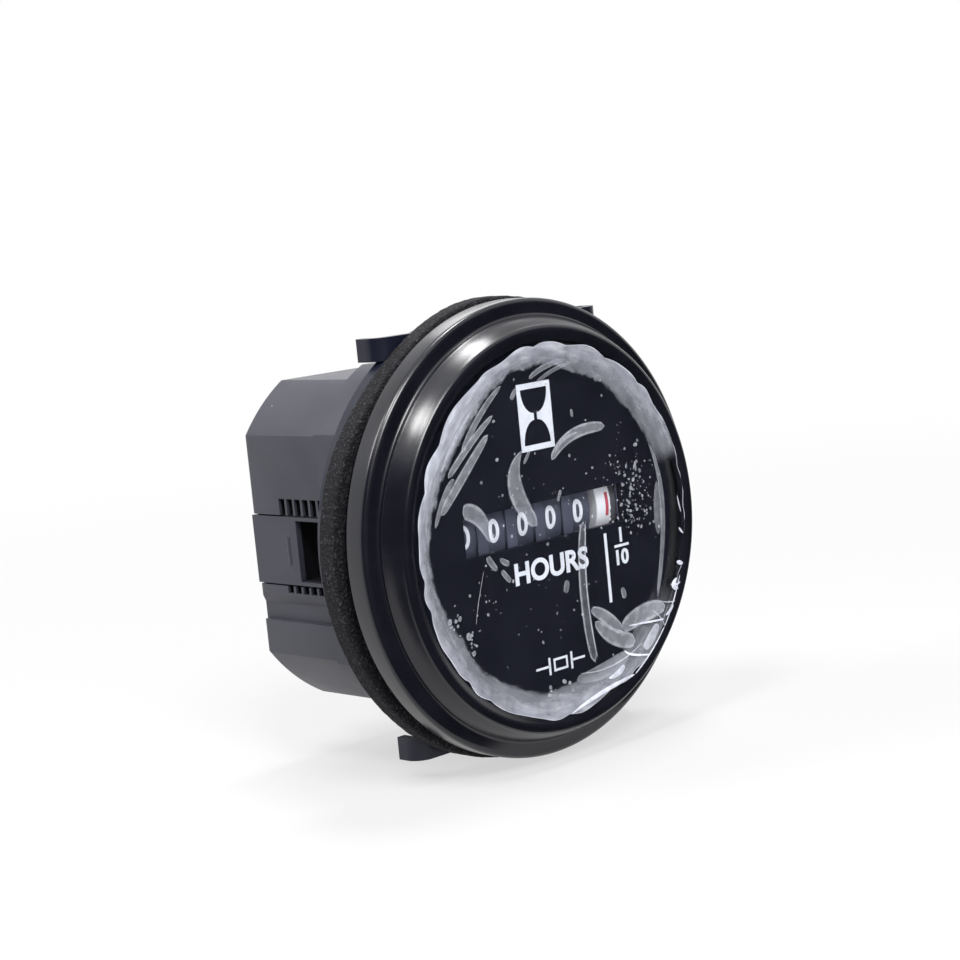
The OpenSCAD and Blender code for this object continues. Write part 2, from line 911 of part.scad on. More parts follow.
module motor_stator() {
    pole_r = rotor_r + stator_gap;
    leg_y = rotor_y - pole_r - core_w / 2;
    color("#8b8f94")
        across(stator_x, stator_t)
            difference() {
                union() {
                    translate([rotor_y, rotor_z])
                        circle(r = pole_r + core_w);
                    translate([leg_y - core_w / 2, floor_z])
                        square([core_w, rotor_z - floor_z]);
                    translate([core_y - core_w / 2, floor_z])
                        square([core_w, rotor_z - floor_z]);
                    translate([leg_y - core_w / 2, floor_z])
                        square([core_y - leg_y + core_w, coil_low - floor_z - 0.1]);
                }
                translate([rotor_y, rotor_z])
                    circle(r = pole_r);
            }
}

module motor_bracket() {
    low = rotor_y - bracket_r;
    color("#a7abb0")
        across(bracket_x, bracket_t)
            difference() {
                union() {
                    translate([low, floor_z])
                        square([2 * bracket_r, rotor_z - floor_z]);
                    translate([rotor_y, rotor_z])
                        circle(r = bracket_r);
                }
                translate([rotor_y, rotor_z])
                    circle(r = arbor_r + run_fit);
            }
}

module coil_bobbin() {
    color("#efe9d8")
        difference() {
            translate([coil_x, core_y, coil_low]) {
                cylinder(h = coil_len, r = tube_r);
                cylinder(h = flange_disc, r = coil_r);
                translate([0, 0, coil_len - flange_disc])
                    cylinder(h = flange_disc, r = coil_r);
            }
            block(
                span(coil_x, stator_t / 2 + run_fit),
                span(core_y, core_w / 2 + run_fit),
                [coil_low - cut, coil_low + coil_len + cut]
            );
        }
}

module coil_winding() {
    color("#b4632d")
        translate([coil_x, core_y, coil_low + flange_disc])
            difference() {
                cylinder(h = coil_len - 2 * flange_disc, r = coil_r - 0.1);
                translate([0, 0, -cut])
                    cylinder(h = coil_len + 2 * cut, r = tube_r + 0.02);
            }
}

module circuit_board() {
    color("#2f6b3f")
        difference() {
            block([-board_w / 2, board_w / 2], [y_board, y_board + board_t], [-board_h / 2, board_h / 2]);
            for (x = [-1, 1] * board_post[0], z = [-1, 1] * board_post[1])
                rod_facing(y_board - cut, board_t + 2 * cut, screw_r + run_fit, x, z);
            for (side = [-1, 1])
                block(
                    span(side * blade_pitch / 2, blade_t / 2 + run_fit),
                    [y_board - cut, y_board + board_t + cut],
                    [-blade_w / 4 - run_fit, blade_w / 4 + run_fit]
                );
        }
}

module quartz_crystal() {
    color("#c7cacd")
        rod_across(parts_x + chip_w - 1, can_len, can_r, y_board - can_r, can_z);
}

module driver_chip() {
    color("#1b1b1d")
        block([parts_x, parts_x + chip_w], [y_board - chip_t, y_board], span(row_z(1), chip_w / 2));
}

module capacitor() {
    color("#27405f")
        rod_facing(y_board - cap_len, cap_len, cap_r, parts_x + chip_w + 2 * cap_r, cap_z);
}

module diode() {
    color("#222224")
        rod_across(parts_x, diode_len, diode_r, y_board - diode_r, row_z(0));
}

module resistors() {
    color("#c9a46b")
        for (row = [2, 3])
            rod_across(parts_x, resistor_len, resistor_r, y_board - resistor_r, row_z(row));
}

module terminal(side) {
    tip = 1;
    root = [y_board - 0.4, y_board + board_t];
    color("#cfd2d6")
        difference() {
            union() {
                across(side * blade_pitch / 2 - blade_t / 2, blade_t)
                    polygon([
                        [root[0], -blade_w / 4],
                        [root[1], -blade_w / 4],
                        [root[1], -blade_w / 2],
                        [case_depth + blade_len - tip, -blade_w / 2],
                        [case_depth + blade_len, -blade_w / 2 + tip],
                        [case_depth + blade_len, blade_w / 2 - tip],
                        [case_depth + blade_len - tip, blade_w / 2],
                        [root[1], blade_w / 2],
                        [root[1], blade_w / 4],
                        [root[0], blade_w / 4]
                    ]);
            }
            rod_across(
                side * blade_pitch / 2 - cut,
                2 * cut,
                blade_hole_r,
                case_depth + blade_len - blade_hole_inset,
                0
            );
        }
}

module terminal_plus() { terminal(1); }
module terminal_minus() { terminal(-1); }

module board_screws() {
    color("#9a9da1")
        for (x = [-1, 1] * board_post[0], z = [-1, 1] * board_post[1]) {
            rod_facing(y_board, board_t + board_gap - screw_spare, screw_r, x, z);
            rod_facing(y_board - screw_head_t, screw_head_t, screw_head_r, x, z);
        }
}

module frame_screws() {
    color("#9a9da1")
        for (x = [-post_x, post_x])
            translate([x, post_y, floor_z - floor_t - frame_screw_len]) {
                cylinder(h = frame_screw_len + floor_t, r = screw_r);
                translate([0, 0, frame_screw_len + floor_t])
                    cylinder(h = screw_head_t, r = screw_head_r);
            }
}

bezel();
panel_gasket();
lens();
protective_film();
lens_seal();
dial_plate();
dial_print();
rear_case();
mounting_clamp();
counter_frame();
drum_shaft();
pinion_shaft();
drum_ten_thousands();
drum_thousands();
drum_hundreds();
drum_tens();
drum_ones();
drum_tenths();
pinion_ten_thousands();
pinion_thousands();
pinion_hundreds();
pinion_tens();
pinion_ones();
drive_wheel();
reduction_wheel();
motor_rotor();
motor_stator();
motor_bracket();
coil_bobbin();
coil_winding();
circuit_board();
quartz_crystal();
driver_chip();
capacitor();
diode();
resistors();
terminal_plus();
terminal_minus();
board_screws();
frame_screws();
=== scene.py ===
import math
import random

import bmesh
import bpy
from mathutils import Matrix, Vector, noise


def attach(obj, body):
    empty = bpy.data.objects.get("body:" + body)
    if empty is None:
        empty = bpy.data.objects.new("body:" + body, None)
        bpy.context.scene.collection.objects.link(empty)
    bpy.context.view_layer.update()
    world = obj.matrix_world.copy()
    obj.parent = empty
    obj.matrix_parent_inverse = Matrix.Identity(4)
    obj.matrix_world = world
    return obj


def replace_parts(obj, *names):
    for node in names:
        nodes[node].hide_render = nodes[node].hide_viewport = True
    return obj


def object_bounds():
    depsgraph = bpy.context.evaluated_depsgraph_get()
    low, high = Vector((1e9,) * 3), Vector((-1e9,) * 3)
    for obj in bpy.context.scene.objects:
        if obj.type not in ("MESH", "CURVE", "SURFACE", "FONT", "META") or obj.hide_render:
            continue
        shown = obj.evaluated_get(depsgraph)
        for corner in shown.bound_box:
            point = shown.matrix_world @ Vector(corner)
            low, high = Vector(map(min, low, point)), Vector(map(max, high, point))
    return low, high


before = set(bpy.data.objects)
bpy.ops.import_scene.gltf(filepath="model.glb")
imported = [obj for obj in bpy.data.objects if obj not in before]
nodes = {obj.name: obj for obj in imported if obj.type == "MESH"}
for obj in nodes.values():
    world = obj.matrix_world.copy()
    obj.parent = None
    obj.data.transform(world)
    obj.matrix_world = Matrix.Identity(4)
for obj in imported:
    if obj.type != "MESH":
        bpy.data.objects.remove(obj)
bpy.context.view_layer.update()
scene = bpy.context.scene
scene.view_settings.view_transform = "Standard"
mm = 0.001
print("frame loaded:", len(nodes), "nodes")


# shader maths: a wire is one output socket, and expressions on wires add their Math nodes
class Wire:
    def __init__(self, tree, socket=None):
        self.tree, self.socket = tree, socket

    def add(self, kind, settings=None, out=0, **sockets):
        made = self.tree.nodes.new(kind)
        for key, value in (settings or {}).items():
            if key == "stops":
                fillRamp(made.color_ramp, value)
            else:
                setattr(made, key, value)
        for key, value in sockets.items():
            number = key[1:] if key[0] == "i" else ""
            target = made.inputs[int(number)] if number.isdigit() else made.inputs[key.replace("_", " ")]
            if isinstance(value, Wire):
                self.tree.links.new(value.socket, target)
            else:
                target.default_value = value
        return Wire(self.tree, made.outputs[out])

    def output(self, name):  # another output of the same node
        return Wire(self.tree, self.socket.node.outputs[name])

    def calc(self, operation, *values):
        sockets = {f"i{n}": value for n, value in enumerate(values)}
        return self.add("ShaderNodeMath", {"operation": operation}, **sockets)

    def __add__(self, other):
        return self.calc("ADD", self, other)

    def __radd__(self, other):
        return self.calc("ADD", other, self)

    def __sub__(self, other):
        return self.calc("SUBTRACT", self, other)

    def __rsub__(self, other):
        return self.calc("SUBTRACT", other, self)

    def __mul__(self, other):
        return self.calc("MULTIPLY", self, other)

    def __rmul__(self, other):
        return self.calc("MULTIPLY", other, self)

    def __truediv__(self, other):
        return self.calc("DIVIDE", self, other)

    def __pow__(self, other):
        return self.calc("POWER", self, other)

    def top(self, other):
        return self.calc("MAXIMUM", self, other)

    def low(self, other):
        return self.calc("MINIMUM", self, other)

    def root(self):
        return self.calc("SQRT", self)

    def size(self):
        return self.calc("ABSOLUTE", self)

    def step(self, start, end):  # 0 below start, 1 above end, smooth between
        return self.add("ShaderNodeMapRange", {"interpolation_type": "SMOOTHSTEP"},
                        Value=self, From_Min=start, From_Max=end)

    def blend(self, first, second):  # this wire as the factor between two colours
        return self.add("ShaderNodeMix", {"data_type": "RGBA"}, 2, i0=self, i6=first, i7=second)


def fillRamp(ramp, stops):
    while len(ramp.elements) < len(stops):
        ramp.elements.new(1.0)
    for element, (spot, shade) in zip(ramp.elements, stops):
        element.position, element.color = spot, (shade, shade, shade, 1)


def colour(red, green, blue):
    return (red, green, blue, 1.0)


# a new material: its principled shader, and a wire to build on
def startMaterial(name, **fixed):
    made = bpy.data.materials.new(name)
    made.use_nodes = True
    shader = made.node_tree.nodes["Principled BSDF"]
    for key, value in fixed.items():
        shader.inputs[key.replace("_", " ")].default_value = value
    return made, shader, Wire(made.node_tree)


def plug(shader, name, wire):
    wire.tree.links.new(wire.socket, shader.inputs[name])


def setSurface(wire):  # a mixed shader becomes its material's surface
    wire.tree.links.new(wire.socket, wire.tree.nodes["Material Output"].inputs["Surface"])


def place(wire):
    return wire.add("ShaderNodeTexCoord", out="Object")


def along(wire, axis):  # one object coordinate, in mm
    return wire.add("ShaderNodeSeparateXYZ", None, axis, Vector=place(wire)) * (1 / mm)


def speckle(wire, scale, detail=3.0, rough=0.55, vector=None):
    return wire.add("ShaderNodeTexNoise", None, "Fac", Vector=vector or place(wire), Scale=scale,
                    Detail=detail, Roughness=rough)


def cells(wire, scale):
    return wire.add("ShaderNodeTexVoronoi", None, "Distance", Vector=place(wire), Scale=scale)


# moulded plastic, unless a look says otherwise: mottling, a fine grain, and pale dust where it is asked for
plasticLook = {"specular": 0.5, "mottleScale": 120.0, "mottle": (0.3, 0.7), "roughSpread": 0.08,
               "grainScale": 4000.0, "grainSpread": 0.06, "bump": 0.12, "bumpDepth": 0.00005,
               "specks": (0.02, 0.055), "patchScale": 260.0, "patches": (0.58, 0.72),
               "dustColour": (0.75, 0.76, 0.8), "dustRough": 0.3}


def plastic(name, given, mask=None):
    look = {**plasticLook, **given}
    made, shader, wire = startMaterial(name, Specular_IOR_Level=look["specular"])
    mottle = speckle(wire, look["mottleScale"]).step(*look["mottle"])
    base = mottle.blend(colour(*look["dark"]), colour(*look["light"]))
    if mask:
        base = mask(wire).blend(base, colour(*look["second"]))
    grain = speckle(wire, look["grainScale"], 2.0)
    rough = look["rough"] + (mottle - 0.5) * look["roughSpread"] + (grain - 0.5) * look["grainSpread"]
    if "dust" in look:
        specks = 1 - cells(wire, look["dustScale"]).step(*look["specks"])
        patches = speckle(wire, look["patchScale"], 4.0).step(*look["patches"])
        dust = specks * patches * look["dust"]
        base = dust.blend(base, colour(*look["dustColour"]))
        rough = rough + dust * look["dustRough"]
    plug(shader, "Base Color", base)
    plug(shader, "Roughness", rough)
    bump = wire.add("ShaderNodeBump", None, Strength=look["bump"], Distance=look["bumpDepth"], Height=grain)
    plug(shader, "Normal", bump)
    return made


# bare or plated metal: brushed along one axis
metalLook = {"stretch": (1.0, 12.0, 1.0), "brushScale": 1500.0, "brushSpread": 0.18, "stainScale": 200.0,
             "stain": (0.35, 0.75), "bump": 0.15, "bumpDepth": 0.00003}


def metal(name, given):
    look = {**metalLook, **given}
    made, shader, wire = startMaterial(name, Metallic=1.0)
    stretch = wire.add("ShaderNodeMapping", None, Vector=place(wire), Scale=look["stretch"])
    brush = speckle(wire, look["brushScale"], 3.0, 0.6, stretch)
    stain = speckle(wire, look["stainScale"]).step(*look["stain"])
    plug(shader, "Base Color", stain.blend(colour(*look["light"]), colour(*look["dark"])))
    plug(shader, "Roughness", look["rough"] + (brush - 0.5) * look["brushSpread"])
    bump = wire.add("ShaderNodeBump", None, Strength=look["bump"], Distance=look["bumpDepth"], Height=brush)
    plug(shader, "Normal", bump)
    return made


def wear(obj, material):
    obj.data.materials.clear()
    obj.data.materials.append(material)
    return obj


def toObject(name, bm):  # a bmesh becomes an object in the scene
    mesh = bpy.data.meshes.new(name)
    bm.to_mesh(mesh)
    bm.free()
    obj = bpy.data.objects.new(name, mesh)
    scene.collection.objects.link(obj)
    return obj


def keep(name, bm, body, material, smoothAngle=30.0):  # a bmesh becomes a piece that rides on a body
    obj = toObject(name, bm)
    obj.data.shade_smooth()
    obj.data.set_sharp_from_angle(angle=math.radians(smoothAngle))
    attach(obj, body)
    return wear(obj, material)


# radius and y pairs in mm, spun about the dial's axis
def lathe(profile, steps, rounding=0.0, closed=True):
    bm = bmesh.new()
    ring = [bm.verts.new((r * mm, y * mm, 0.0)) for r, y in profile]
    for a, b in zip(ring, ring[1:] + (ring[:1] if closed else [])):
        bm.edges.new((a, b))
    if rounding:
        bmesh.ops.bevel(bm, geom=bm.verts[:], offset=rounding * mm, offset_type="OFFSET", affect="VERTICES",
                        segments=3, profile=0.5, material=-1, clamp_overlap=True)
    bmesh.ops.spin(bm, geom=bm.verts[:] + bm.edges[:], cent=(0, 0, 0), axis=(0, 1, 0), dvec=(0, 0, 0),
                   angle=math.tau, steps=steps, use_merge=True, use_duplicate=False)
    bmesh.ops.remove_doubles(bm, verts=bm.verts[:], dist=1e-7)
    bmesh.ops.recalc_face_normals(bm, faces=bm.faces[:])
    return bm


# a copy of a CAD node with its sharp edges eased, standing for that node; angles in degrees
easing = {"merge": 2e-6, "flat": 0.6, "sharp": 25.0, "segments": 2, "smooth": 16.0}


def softened(node, body, material, width):
    bm = bmesh.new()
    bm.from_mesh(nodes[node].data)
    bmesh.ops.remove_doubles(bm, verts=bm.verts[:], dist=easing["merge"])
    flat, sharp = math.radians(easing["flat"]), math.radians(easing["sharp"])
    bmesh.ops.dissolve_limit(bm, angle_limit=flat, verts=bm.verts[:], edges=bm.edges[:])
    crisp = [e for e in bm.edges if len(e.link_faces) == 2 and e.calc_face_angle(0) > sharp]
    bmesh.ops.bevel(bm, geom=crisp, offset=width * mm, offset_type="OFFSET", affect="EDGES",
                    segments=easing["segments"], profile=0.5, material=-1, clamp_overlap=True)
    bmesh.ops.triangulate(bm, faces=[f for f in bm.faces if len(f.verts) > 4])
    obj = keep(node + "_skin", bm, body, material, easing["smooth"])
    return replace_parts(obj, node)


# camera at the photograph's view
cameraLook = {"place": (-198.46, -211.64, 43.44), "lens": 82.78, "sensor": 36.0, "clip": (0.01, 50.0),
              "right": (0.721, -0.68608, -0.09729), "up": (0.15784, 0.0259, 0.98712),
              "back": (-0.67472, -0.72707, 0.12696)}


def addCamera():
    data = bpy.data.cameras.new("camera")
    data.lens, data.sensor_width = cameraLook["lens"], cameraLook["sensor"]
    data.clip_start, data.clip_end = cameraLook["clip"]
    obj = bpy.data.objects.new("camera", data)
    scene.collection.objects.link(obj)
    turn = Matrix((cameraLook["right"], cameraLook["up"], cameraLook["back"])).transposed().to_4x4()
    obj.matrix_world = Matrix.Translation(Vector(cameraLook["place"]) * mm) @ turn
    scene.camera = obj


addCamera()
print("camera set")

# bezel: glossy black ring, spun from its profile of radius and y pairs in mm
bezelLook = {"dark": (0.004, 0.0045, 0.0075), "light": (0.0065, 0.007, 0.0115), "rough": 0.23,
             "roughSpread": 0.05, "grainScale": 2600.0, "bump": 0.03, "dust": 0.25, "dustScale": 900.0,
             "back": [(25.8, -3.0), (28.6, -3.0), (28.6, -4.7), (29.7, -4.7), (30.0, -5.0)],
             "edge": (29.2, -7.45, 0.8), "edgeTurn": 15,
             "groove": [(28.0, -8.3), (27.72, -8.5), (27.7, -8.9)],
             "flank": ((27.6, -9.1), (26.55, -11.1)), "flankSteps": 6, "bulge": 0.05,
             "crest": [(26.42, -11.38), (26.2, -11.6), (25.9, -11.72), (25.6, -11.75), (25.2, -11.62),
                       (24.8, -11.42), (24.4, -11.25)],
             "seat": [(24.4, -10.7), (25.8, -10.7)], "rounding": 0.08, "steps": 320, "smooth": 50.0}


def addBezel():
    r, y, radius = bezelLook["edge"]
    turns = [math.radians(degrees) for degrees in range(0, 91, bezelLook["edgeTurn"])]
    edge = [(r + radius * math.cos(turn), y - radius * math.sin(turn)) for turn in turns]
    foot, crest = (Vector(spot) for spot in bezelLook["flank"])
    out = Vector((foot.y - crest.y, crest.x - foot.x)).normalized()  # square to the flank
    shares = [n / bezelLook["flankSteps"] for n in range(bezelLook["flankSteps"] + 1)]
    flank = [foot.lerp(crest, t) + out * bezelLook["bulge"] * math.sin(math.pi * t) for t in shares]
    profile = bezelLook["back"] + edge + bezelLook["groove"] + [tuple(spot) for spot in flank]
    profile += bezelLook["crest"] + bezelLook["seat"]
    bm = lathe(profile, bezelLook["steps"], bezelLook["rounding"])
    obj = keep("bezel_ring", bm, "case", plastic("bezelGloss", bezelLook), bezelLook["smooth"])
    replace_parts(obj, "bezel")


addBezel()
print("bezel done")

# foam gasket: a cut ring, squeezed unevenly and tucked in at the upper left; tuck is angle, spread and depth
foamLook = {"inner": 26.2, "outer": 30.55, "front": -2.98, "middle": -1.5, "rear": -0.02, "rounding": 0.45,
            "steps": 360, "smooth": 60.0, "held": 27.0, "sink": 0.05, "waver": 0.12, "waveScale": 3.1,
            "waveStart": (4.0, 0, 0), "pore": 0.07, "poreScale": 1400, "tuck": (128.0, 25.0, 1.3),
            "dark": (0.005, 0.005, 0.007), "light": (0.055, 0.053, 0.062), "cellScale": 2600.0,
            "flecks": (0.5, 0.72), "rough": 0.85, "roughSpread": 0.2, "specular": 0.25, "bump": 0.9,
            "bumpDepth": 0.00025}


def foam():
    made, shader, wire = startMaterial("gasketFoam", Specular_IOR_Level=foamLook["specular"])
    pores = cells(wire, foamLook["cellScale"])
    lumps = speckle(wire, foamLook["cellScale"], 4.0, 0.7)
    flecks = lumps.step(*foamLook["flecks"])
    plug(shader, "Base Color", flecks.blend(colour(*foamLook["dark"]), colour(*foamLook["light"])))
    plug(shader, "Roughness", foamLook["rough"] + (lumps - 0.5) * foamLook["roughSpread"])
    bump = wire.add("ShaderNodeBump", None, Strength=foamLook["bump"], Distance=foamLook["bumpDepth"],
                    Height=pores + lumps)
    plug(shader, "Normal", bump)
    return made


def addGasket():
    inner, outer, front, rear = (foamLook[key] for key in ("inner", "outer", "front", "rear"))
    profile = [(inner, front), (outer, front), (outer, foamLook["middle"]), (outer, rear), (inner, rear)]
    bm = lathe(profile, foamLook["steps"], foamLook["rounding"])
    middle, spread, depth = foamLook["tuck"]
    for v in bm.verts:
        flat = Vector((v.co.x, 0, v.co.z))
        outward = flat.normalized()
        if flat.length < foamLook["held"] * mm:  # the inner wall keeps its round
            continue
        spot = outward * foamLook["waveScale"] + Vector(foamLook["waveStart"])
        wave = noise.noise(spot) * foamLook["waver"]
        pit = noise.noise(v.co * foamLook["poreScale"]) * foamLook["pore"]
        away = (math.degrees(math.atan2(v.co.z, v.co.x)) - middle) / spread
        v.co += outward * (wave + pit - foamLook["sink"] - depth * math.exp(-away ** 2)) * mm
    obj = keep("gasket_foam", bm, "case", foam(), foamLook["smooth"])
    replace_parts(obj, "panel_gasket")


addGasket()
print("gasket done")

# case and clamp: CAD shapes with eased edges; the case's recesses have a second colour that is painted shade,
# and the clamp's arms a second colour
# the case's second colour, near black, is painted shade in its recesses
caseLook = {"dark": (0.03, 0.031, 0.042), "light": (0.042, 0.043, 0.057), "rough": 0.5, "grainScale": 5200.0,
            "bump": 0.25, "specular": 0.4, "dust": 1.0, "dustScale": 420.0, "edge": 0.16,
            "second": (0.004, 0.004, 0.006),
            "shadedRecess": {"x": (20.1, 20.2), "z": (6.4, 6.5), "front": (0.4, 0.5), "rear": (25.2, 25.3)}}
clampLook = {"dark": (0.006, 0.007, 0.016), "light": (0.01, 0.012, 0.025), "rough": 0.32,
             "grainScale": 4200.0, "bump": 0.1, "specular": 0.35, "dust": 0.8, "dustScale": 700.0,
             "edge": 0.12, "second": (0.034, 0.036, 0.048), "arm": {"x": (19.2, 19.4), "z": (6.0, 7.0)}}


def inRecess(wire):  # painted shade: rack slots, channels and pockets in the case's sides are darkened towards black
    x, y, z = (along(wire, axis) for axis in "XYZ")
    shadedRecess = caseLook["shadedRecess"]
    across = (1 - x.size().step(*shadedRecess["x"])) * (1 - z.size().step(*shadedRecess["z"]))
    return across * (1 - y.step(*shadedRecess["rear"])) * y.step(*shadedRecess["front"])


def onArm(wire):  # the clamp's matt side arms
    x, z = (along(wire, axis) for axis in "XZ")
    return x.size().step(*clampLook["arm"]["x"]) * (1 - z.size().step(*clampLook["arm"]["z"]))


caseMatt = plastic("caseMatt", caseLook, inRecess)
clampGloss = plastic("clampGloss", clampLook, onArm)
softened("rear_case", "case", caseMatt, caseLook["edge"])
softened("mounting_clamp", "mounting_clamp", clampGloss, clampLook["edge"])
print("case and clamp done")


# words and figures: text as a mesh, fitted to a box in mm and thickened; a width of 0 follows the height
def lettering(words, width, height, depth, weight=0.0):
    curve = bpy.data.curves.new("words", "FONT")
    curve.body, curve.size, curve.offset, curve.resolution_u = words, 1.0, weight, 6
    obj = bpy.data.objects.new("words", curve)
    scene.collection.objects.link(obj)
    bpy.context.view_layer.update()
    mesh = bpy.data.meshes.new_from_object(obj.evaluated_get(bpy.context.evaluated_depsgraph_get()))
    bpy.data.objects.remove(obj)
    bm = bmesh.new()
    bm.from_mesh(mesh)
    bpy.data.meshes.remove(mesh)
    bmesh.ops.remove_doubles(bm, verts=bm.verts[:], dist=1e-5)
    xs, ys = [v.co.x for v in bm.verts], [v.co.y for v in bm.verts]
    tall = height / (max(ys) - min(ys)) * mm
    wide = width / (max(xs) - min(xs)) * mm if width else tall
    bmesh.ops.translate(bm, verts=bm.verts[:], vec=(-(min(xs) + max(xs)) / 2, -(min(ys) + max(ys)) / 2, 0))
    bmesh.ops.scale(bm, verts=bm.verts[:], vec=(wide, tall, 1))
    bmesh.ops.rotate(bm, verts=bm.verts[:], cent=(0, 0, 0), matrix=Matrix.Rotation(math.pi / 2, 3, "X"))
    top = bmesh.ops.extrude_face_region(bm, geom=bm.faces[:])["geom"]
    raised = [g for g in top if isinstance(g, bmesh.types.BMVert)]
    bmesh.ops.translate(bm, verts=raised, vec=(0, depth * mm, 0))
    bmesh.ops.recalc_face_normals(bm, faces=bm.faces[:])
    return bm


def joinInto(target, part):  # adds a finished bmesh to another
    mesh = bpy.data.meshes.new("part")
    part.to_mesh(mesh)
    part.free()
    target.from_mesh(mesh)
    bpy.data.meshes.remove(mesh)


def bar(bm, x, z, width, height, depth, y):  # a thin bar, its middle, size and rear face in mm
    made = bmesh.ops.create_cube(bm, size=1.0)["verts"]
    bmesh.ops.scale(bm, verts=made, vec=(width * mm, depth * mm, height * mm))
    bmesh.ops.translate(bm, verts=made, vec=(x * mm, (y - depth / 2) * mm, z * mm))


def ink(name, dark, light):
    return plastic(name, {"dark": dark, "light": light, "rough": 0.45, "mottleScale": 600.0, "bump": 0.05})


whiteInk = ink("whiteInk", (0.78, 0.79, 0.82), (0.88, 0.89, 0.91))
redInk = ink("redInk", (0.5, 0.07, 0.1), (0.6, 0.1, 0.13))

# dial: black satin plate, white print; each word has its x, z, width, height and weight
dialLook = {"dark": (0.0055, 0.006, 0.012), "light": (0.0075, 0.008, 0.016), "rough": 0.42, "bump": 0.05,
            "specular": 0.3, "front": -9.4, "ink": 0.05,
            "words": [("HOURS", 0.45, -4.98, 13.6, 2.95, 0.03), ("1", 13.8, -3.2, 0, 2.0, 0.035),
                      ("10", 13.82, -6.2, 2.4, 2.1, 0.035)],
            "crystal": {"x": 0.37, "z": -17.95, "plate": (0.34, 2.3), "block": (2.6, 1.7), "gap": 0.75,
                        "lead": 2.5, "line": 0.3}}


def addDialWords():
    front = dialLook["front"] - dialLook["ink"]
    for words, x, z, width, height, weight in dialLook["words"]:
        bm = lettering(words, width, height, dialLook["ink"], weight)
        bmesh.ops.translate(bm, verts=bm.verts[:], vec=(x * mm, front * mm, z * mm))
        keep("dial_words_" + words.lower(), bm, "case", whiteInk)


def addCrystalMark():  # a plain crystal symbol: a framed block between two plates with leads
    mark, line = dialLook["crystal"], dialLook["crystal"]["line"]
    wide, tall = mark["block"]
    half = wide / 2 + mark["gap"]
    bm = bmesh.new()
    for side in (-1, 1):
        bars = [(side * half, 0, *mark["plate"]), (side * (half + mark["lead"] / 2), 0, mark["lead"], line),
                (side * (wide - line) / 2, 0, line, tall),
                (0, side * (tall - line) / 2, wide - 2 * line, line)]
        for x, z, width, height in bars:
            bar(bm, mark["x"] + x, mark["z"] + z, width, height, dialLook["ink"], dialLook["front"])
    keep("dial_crystal_mark", bm, "case", whiteInk)


wear(nodes["dial_plate"], plastic("dialSatin", dialLook))
wear(nodes["dial_print"], whiteInk)
addDialWords()
addCrystalMark()
print("dial done")

# number drums: ten figures round each rim, and fixed strips that close the gaps between the drums
drumLook = {"axisY": -1.2, "axisZ": 1.08, "radius": 7.0, "pitch": 5.16, "figure": (1.85, 3.15), "ink": 0.03,
            "weight": 0.03, "figures": 10, "slimOne": 0.3, "cut": 0.42, "levels": 3, "shift": -0.4,
            "lastShift": 0.1,
            "dark": (0.068, 0.072, 0.1), "light": (0.088, 0.093, 0.128), "rough": 0.5, "grainScale": 3800.0,
            "order": ["ten_thousands", "thousands", "hundreds", "tens", "ones", "tenths"],
            "shown": [0, 0, 0, 0, 0, 1],
            "strips": {"x": (-10.5, -5.34, -0.18, 4.98, 15.4), "size": (1.72, 5.6), "depth": 0.15,
                       "rear": -8.36}}
paleDrum = {"dark": (0.88, 0.87, 0.86), "light": (0.94, 0.93, 0.92), "rough": 0.4, "grainScale": 3800.0,
            "second": (0.1, 0.097, 0.105), "start": (10.2, 11.3), "end": (13.6, 13.75),
            "ragged": (1500.0, 0.9)}


def offWhite(wire):  # only a band of the tenths drum is white, with a ragged outer edge
    x = along(wire, "X")
    scale, reach = paleDrum["ragged"]
    ragged = (speckle(wire, scale, 4.0) - 0.5) * reach
    return (1 - x.step(*paleDrum["start"])).top((x + ragged).step(*paleDrum["end"]))


def rimFigure(figure, weight):  # one figure, cut in levels and bent round the rim
    (width, height), radius, thick = drumLook["figure"], drumLook["radius"] * mm, drumLook["ink"]
    slim = drumLook["slimOne"] if figure == 1 else 1.0
    bm = lettering(str(figure), width * slim, height, thick, weight)
    for level in range(-drumLook["levels"], drumLook["levels"] + 1):
        bmesh.ops.bisect_plane(bm, geom=bm.verts[:] + bm.edges[:] + bm.faces[:], dist=1e-8,
                               plane_co=(0, 0, level * drumLook["cut"] * mm), plane_no=(0, 0, 1))
    for v in bm.verts:
        reach, turn = radius - v.co.y + thick * mm, v.co.z / radius
        v.co.y, v.co.z = -reach * math.cos(turn), reach * math.sin(turn)
    return bm


def addDrums():
    darkRim, whiteRim = plastic("drumDark", drumLook), plastic("drumWhite", paleDrum, offWhite)
    axis = Vector((0, drumLook["axisY"], drumLook["axisZ"])) * mm
    middle, pitchTurn = (len(drumLook["order"]) - 1) / 2, math.tau / drumLook["figures"]
    for seat, name in enumerate(drumLook["order"]):
        last = name == "tenths"
        wear(nodes["drum_" + name], whiteRim if last else darkRim)
        whole = bmesh.new()
        for figure in range(drumLook["figures"]):
            bm = rimFigure(figure, 0.0 if last else drumLook["weight"])
            turn = (drumLook["shown"][seat] - figure) * pitchTurn
            bmesh.ops.rotate(bm, verts=bm.verts[:], cent=(0, 0, 0), matrix=Matrix.Rotation(turn, 3, "X"))
            joinInto(whole, bm)
        across = (seat - middle) * drumLook["pitch"] + drumLook["lastShift" if last else "shift"]
        bmesh.ops.translate(whole, verts=whole.verts[:], vec=axis + Vector((across * mm, 0, 0)))
        figures = keep("figures_" + name, whole, "drum_" + name, redInk if last else whiteInk)
    strips, bm = drumLook["strips"], bmesh.new()
    for x in strips["x"]:
        bar(bm, x, drumLook["axisZ"], *strips["size"], strips["depth"], strips["rear"])
    keep("counter_strips", bm, "case", darkRim)


addDrums()
print("drums done")

# lens: clear, seen through, with a polished face
lensLook = {"tint": (0.97, 0.98, 1.0), "rough": 0.03, "polish": 0.4}


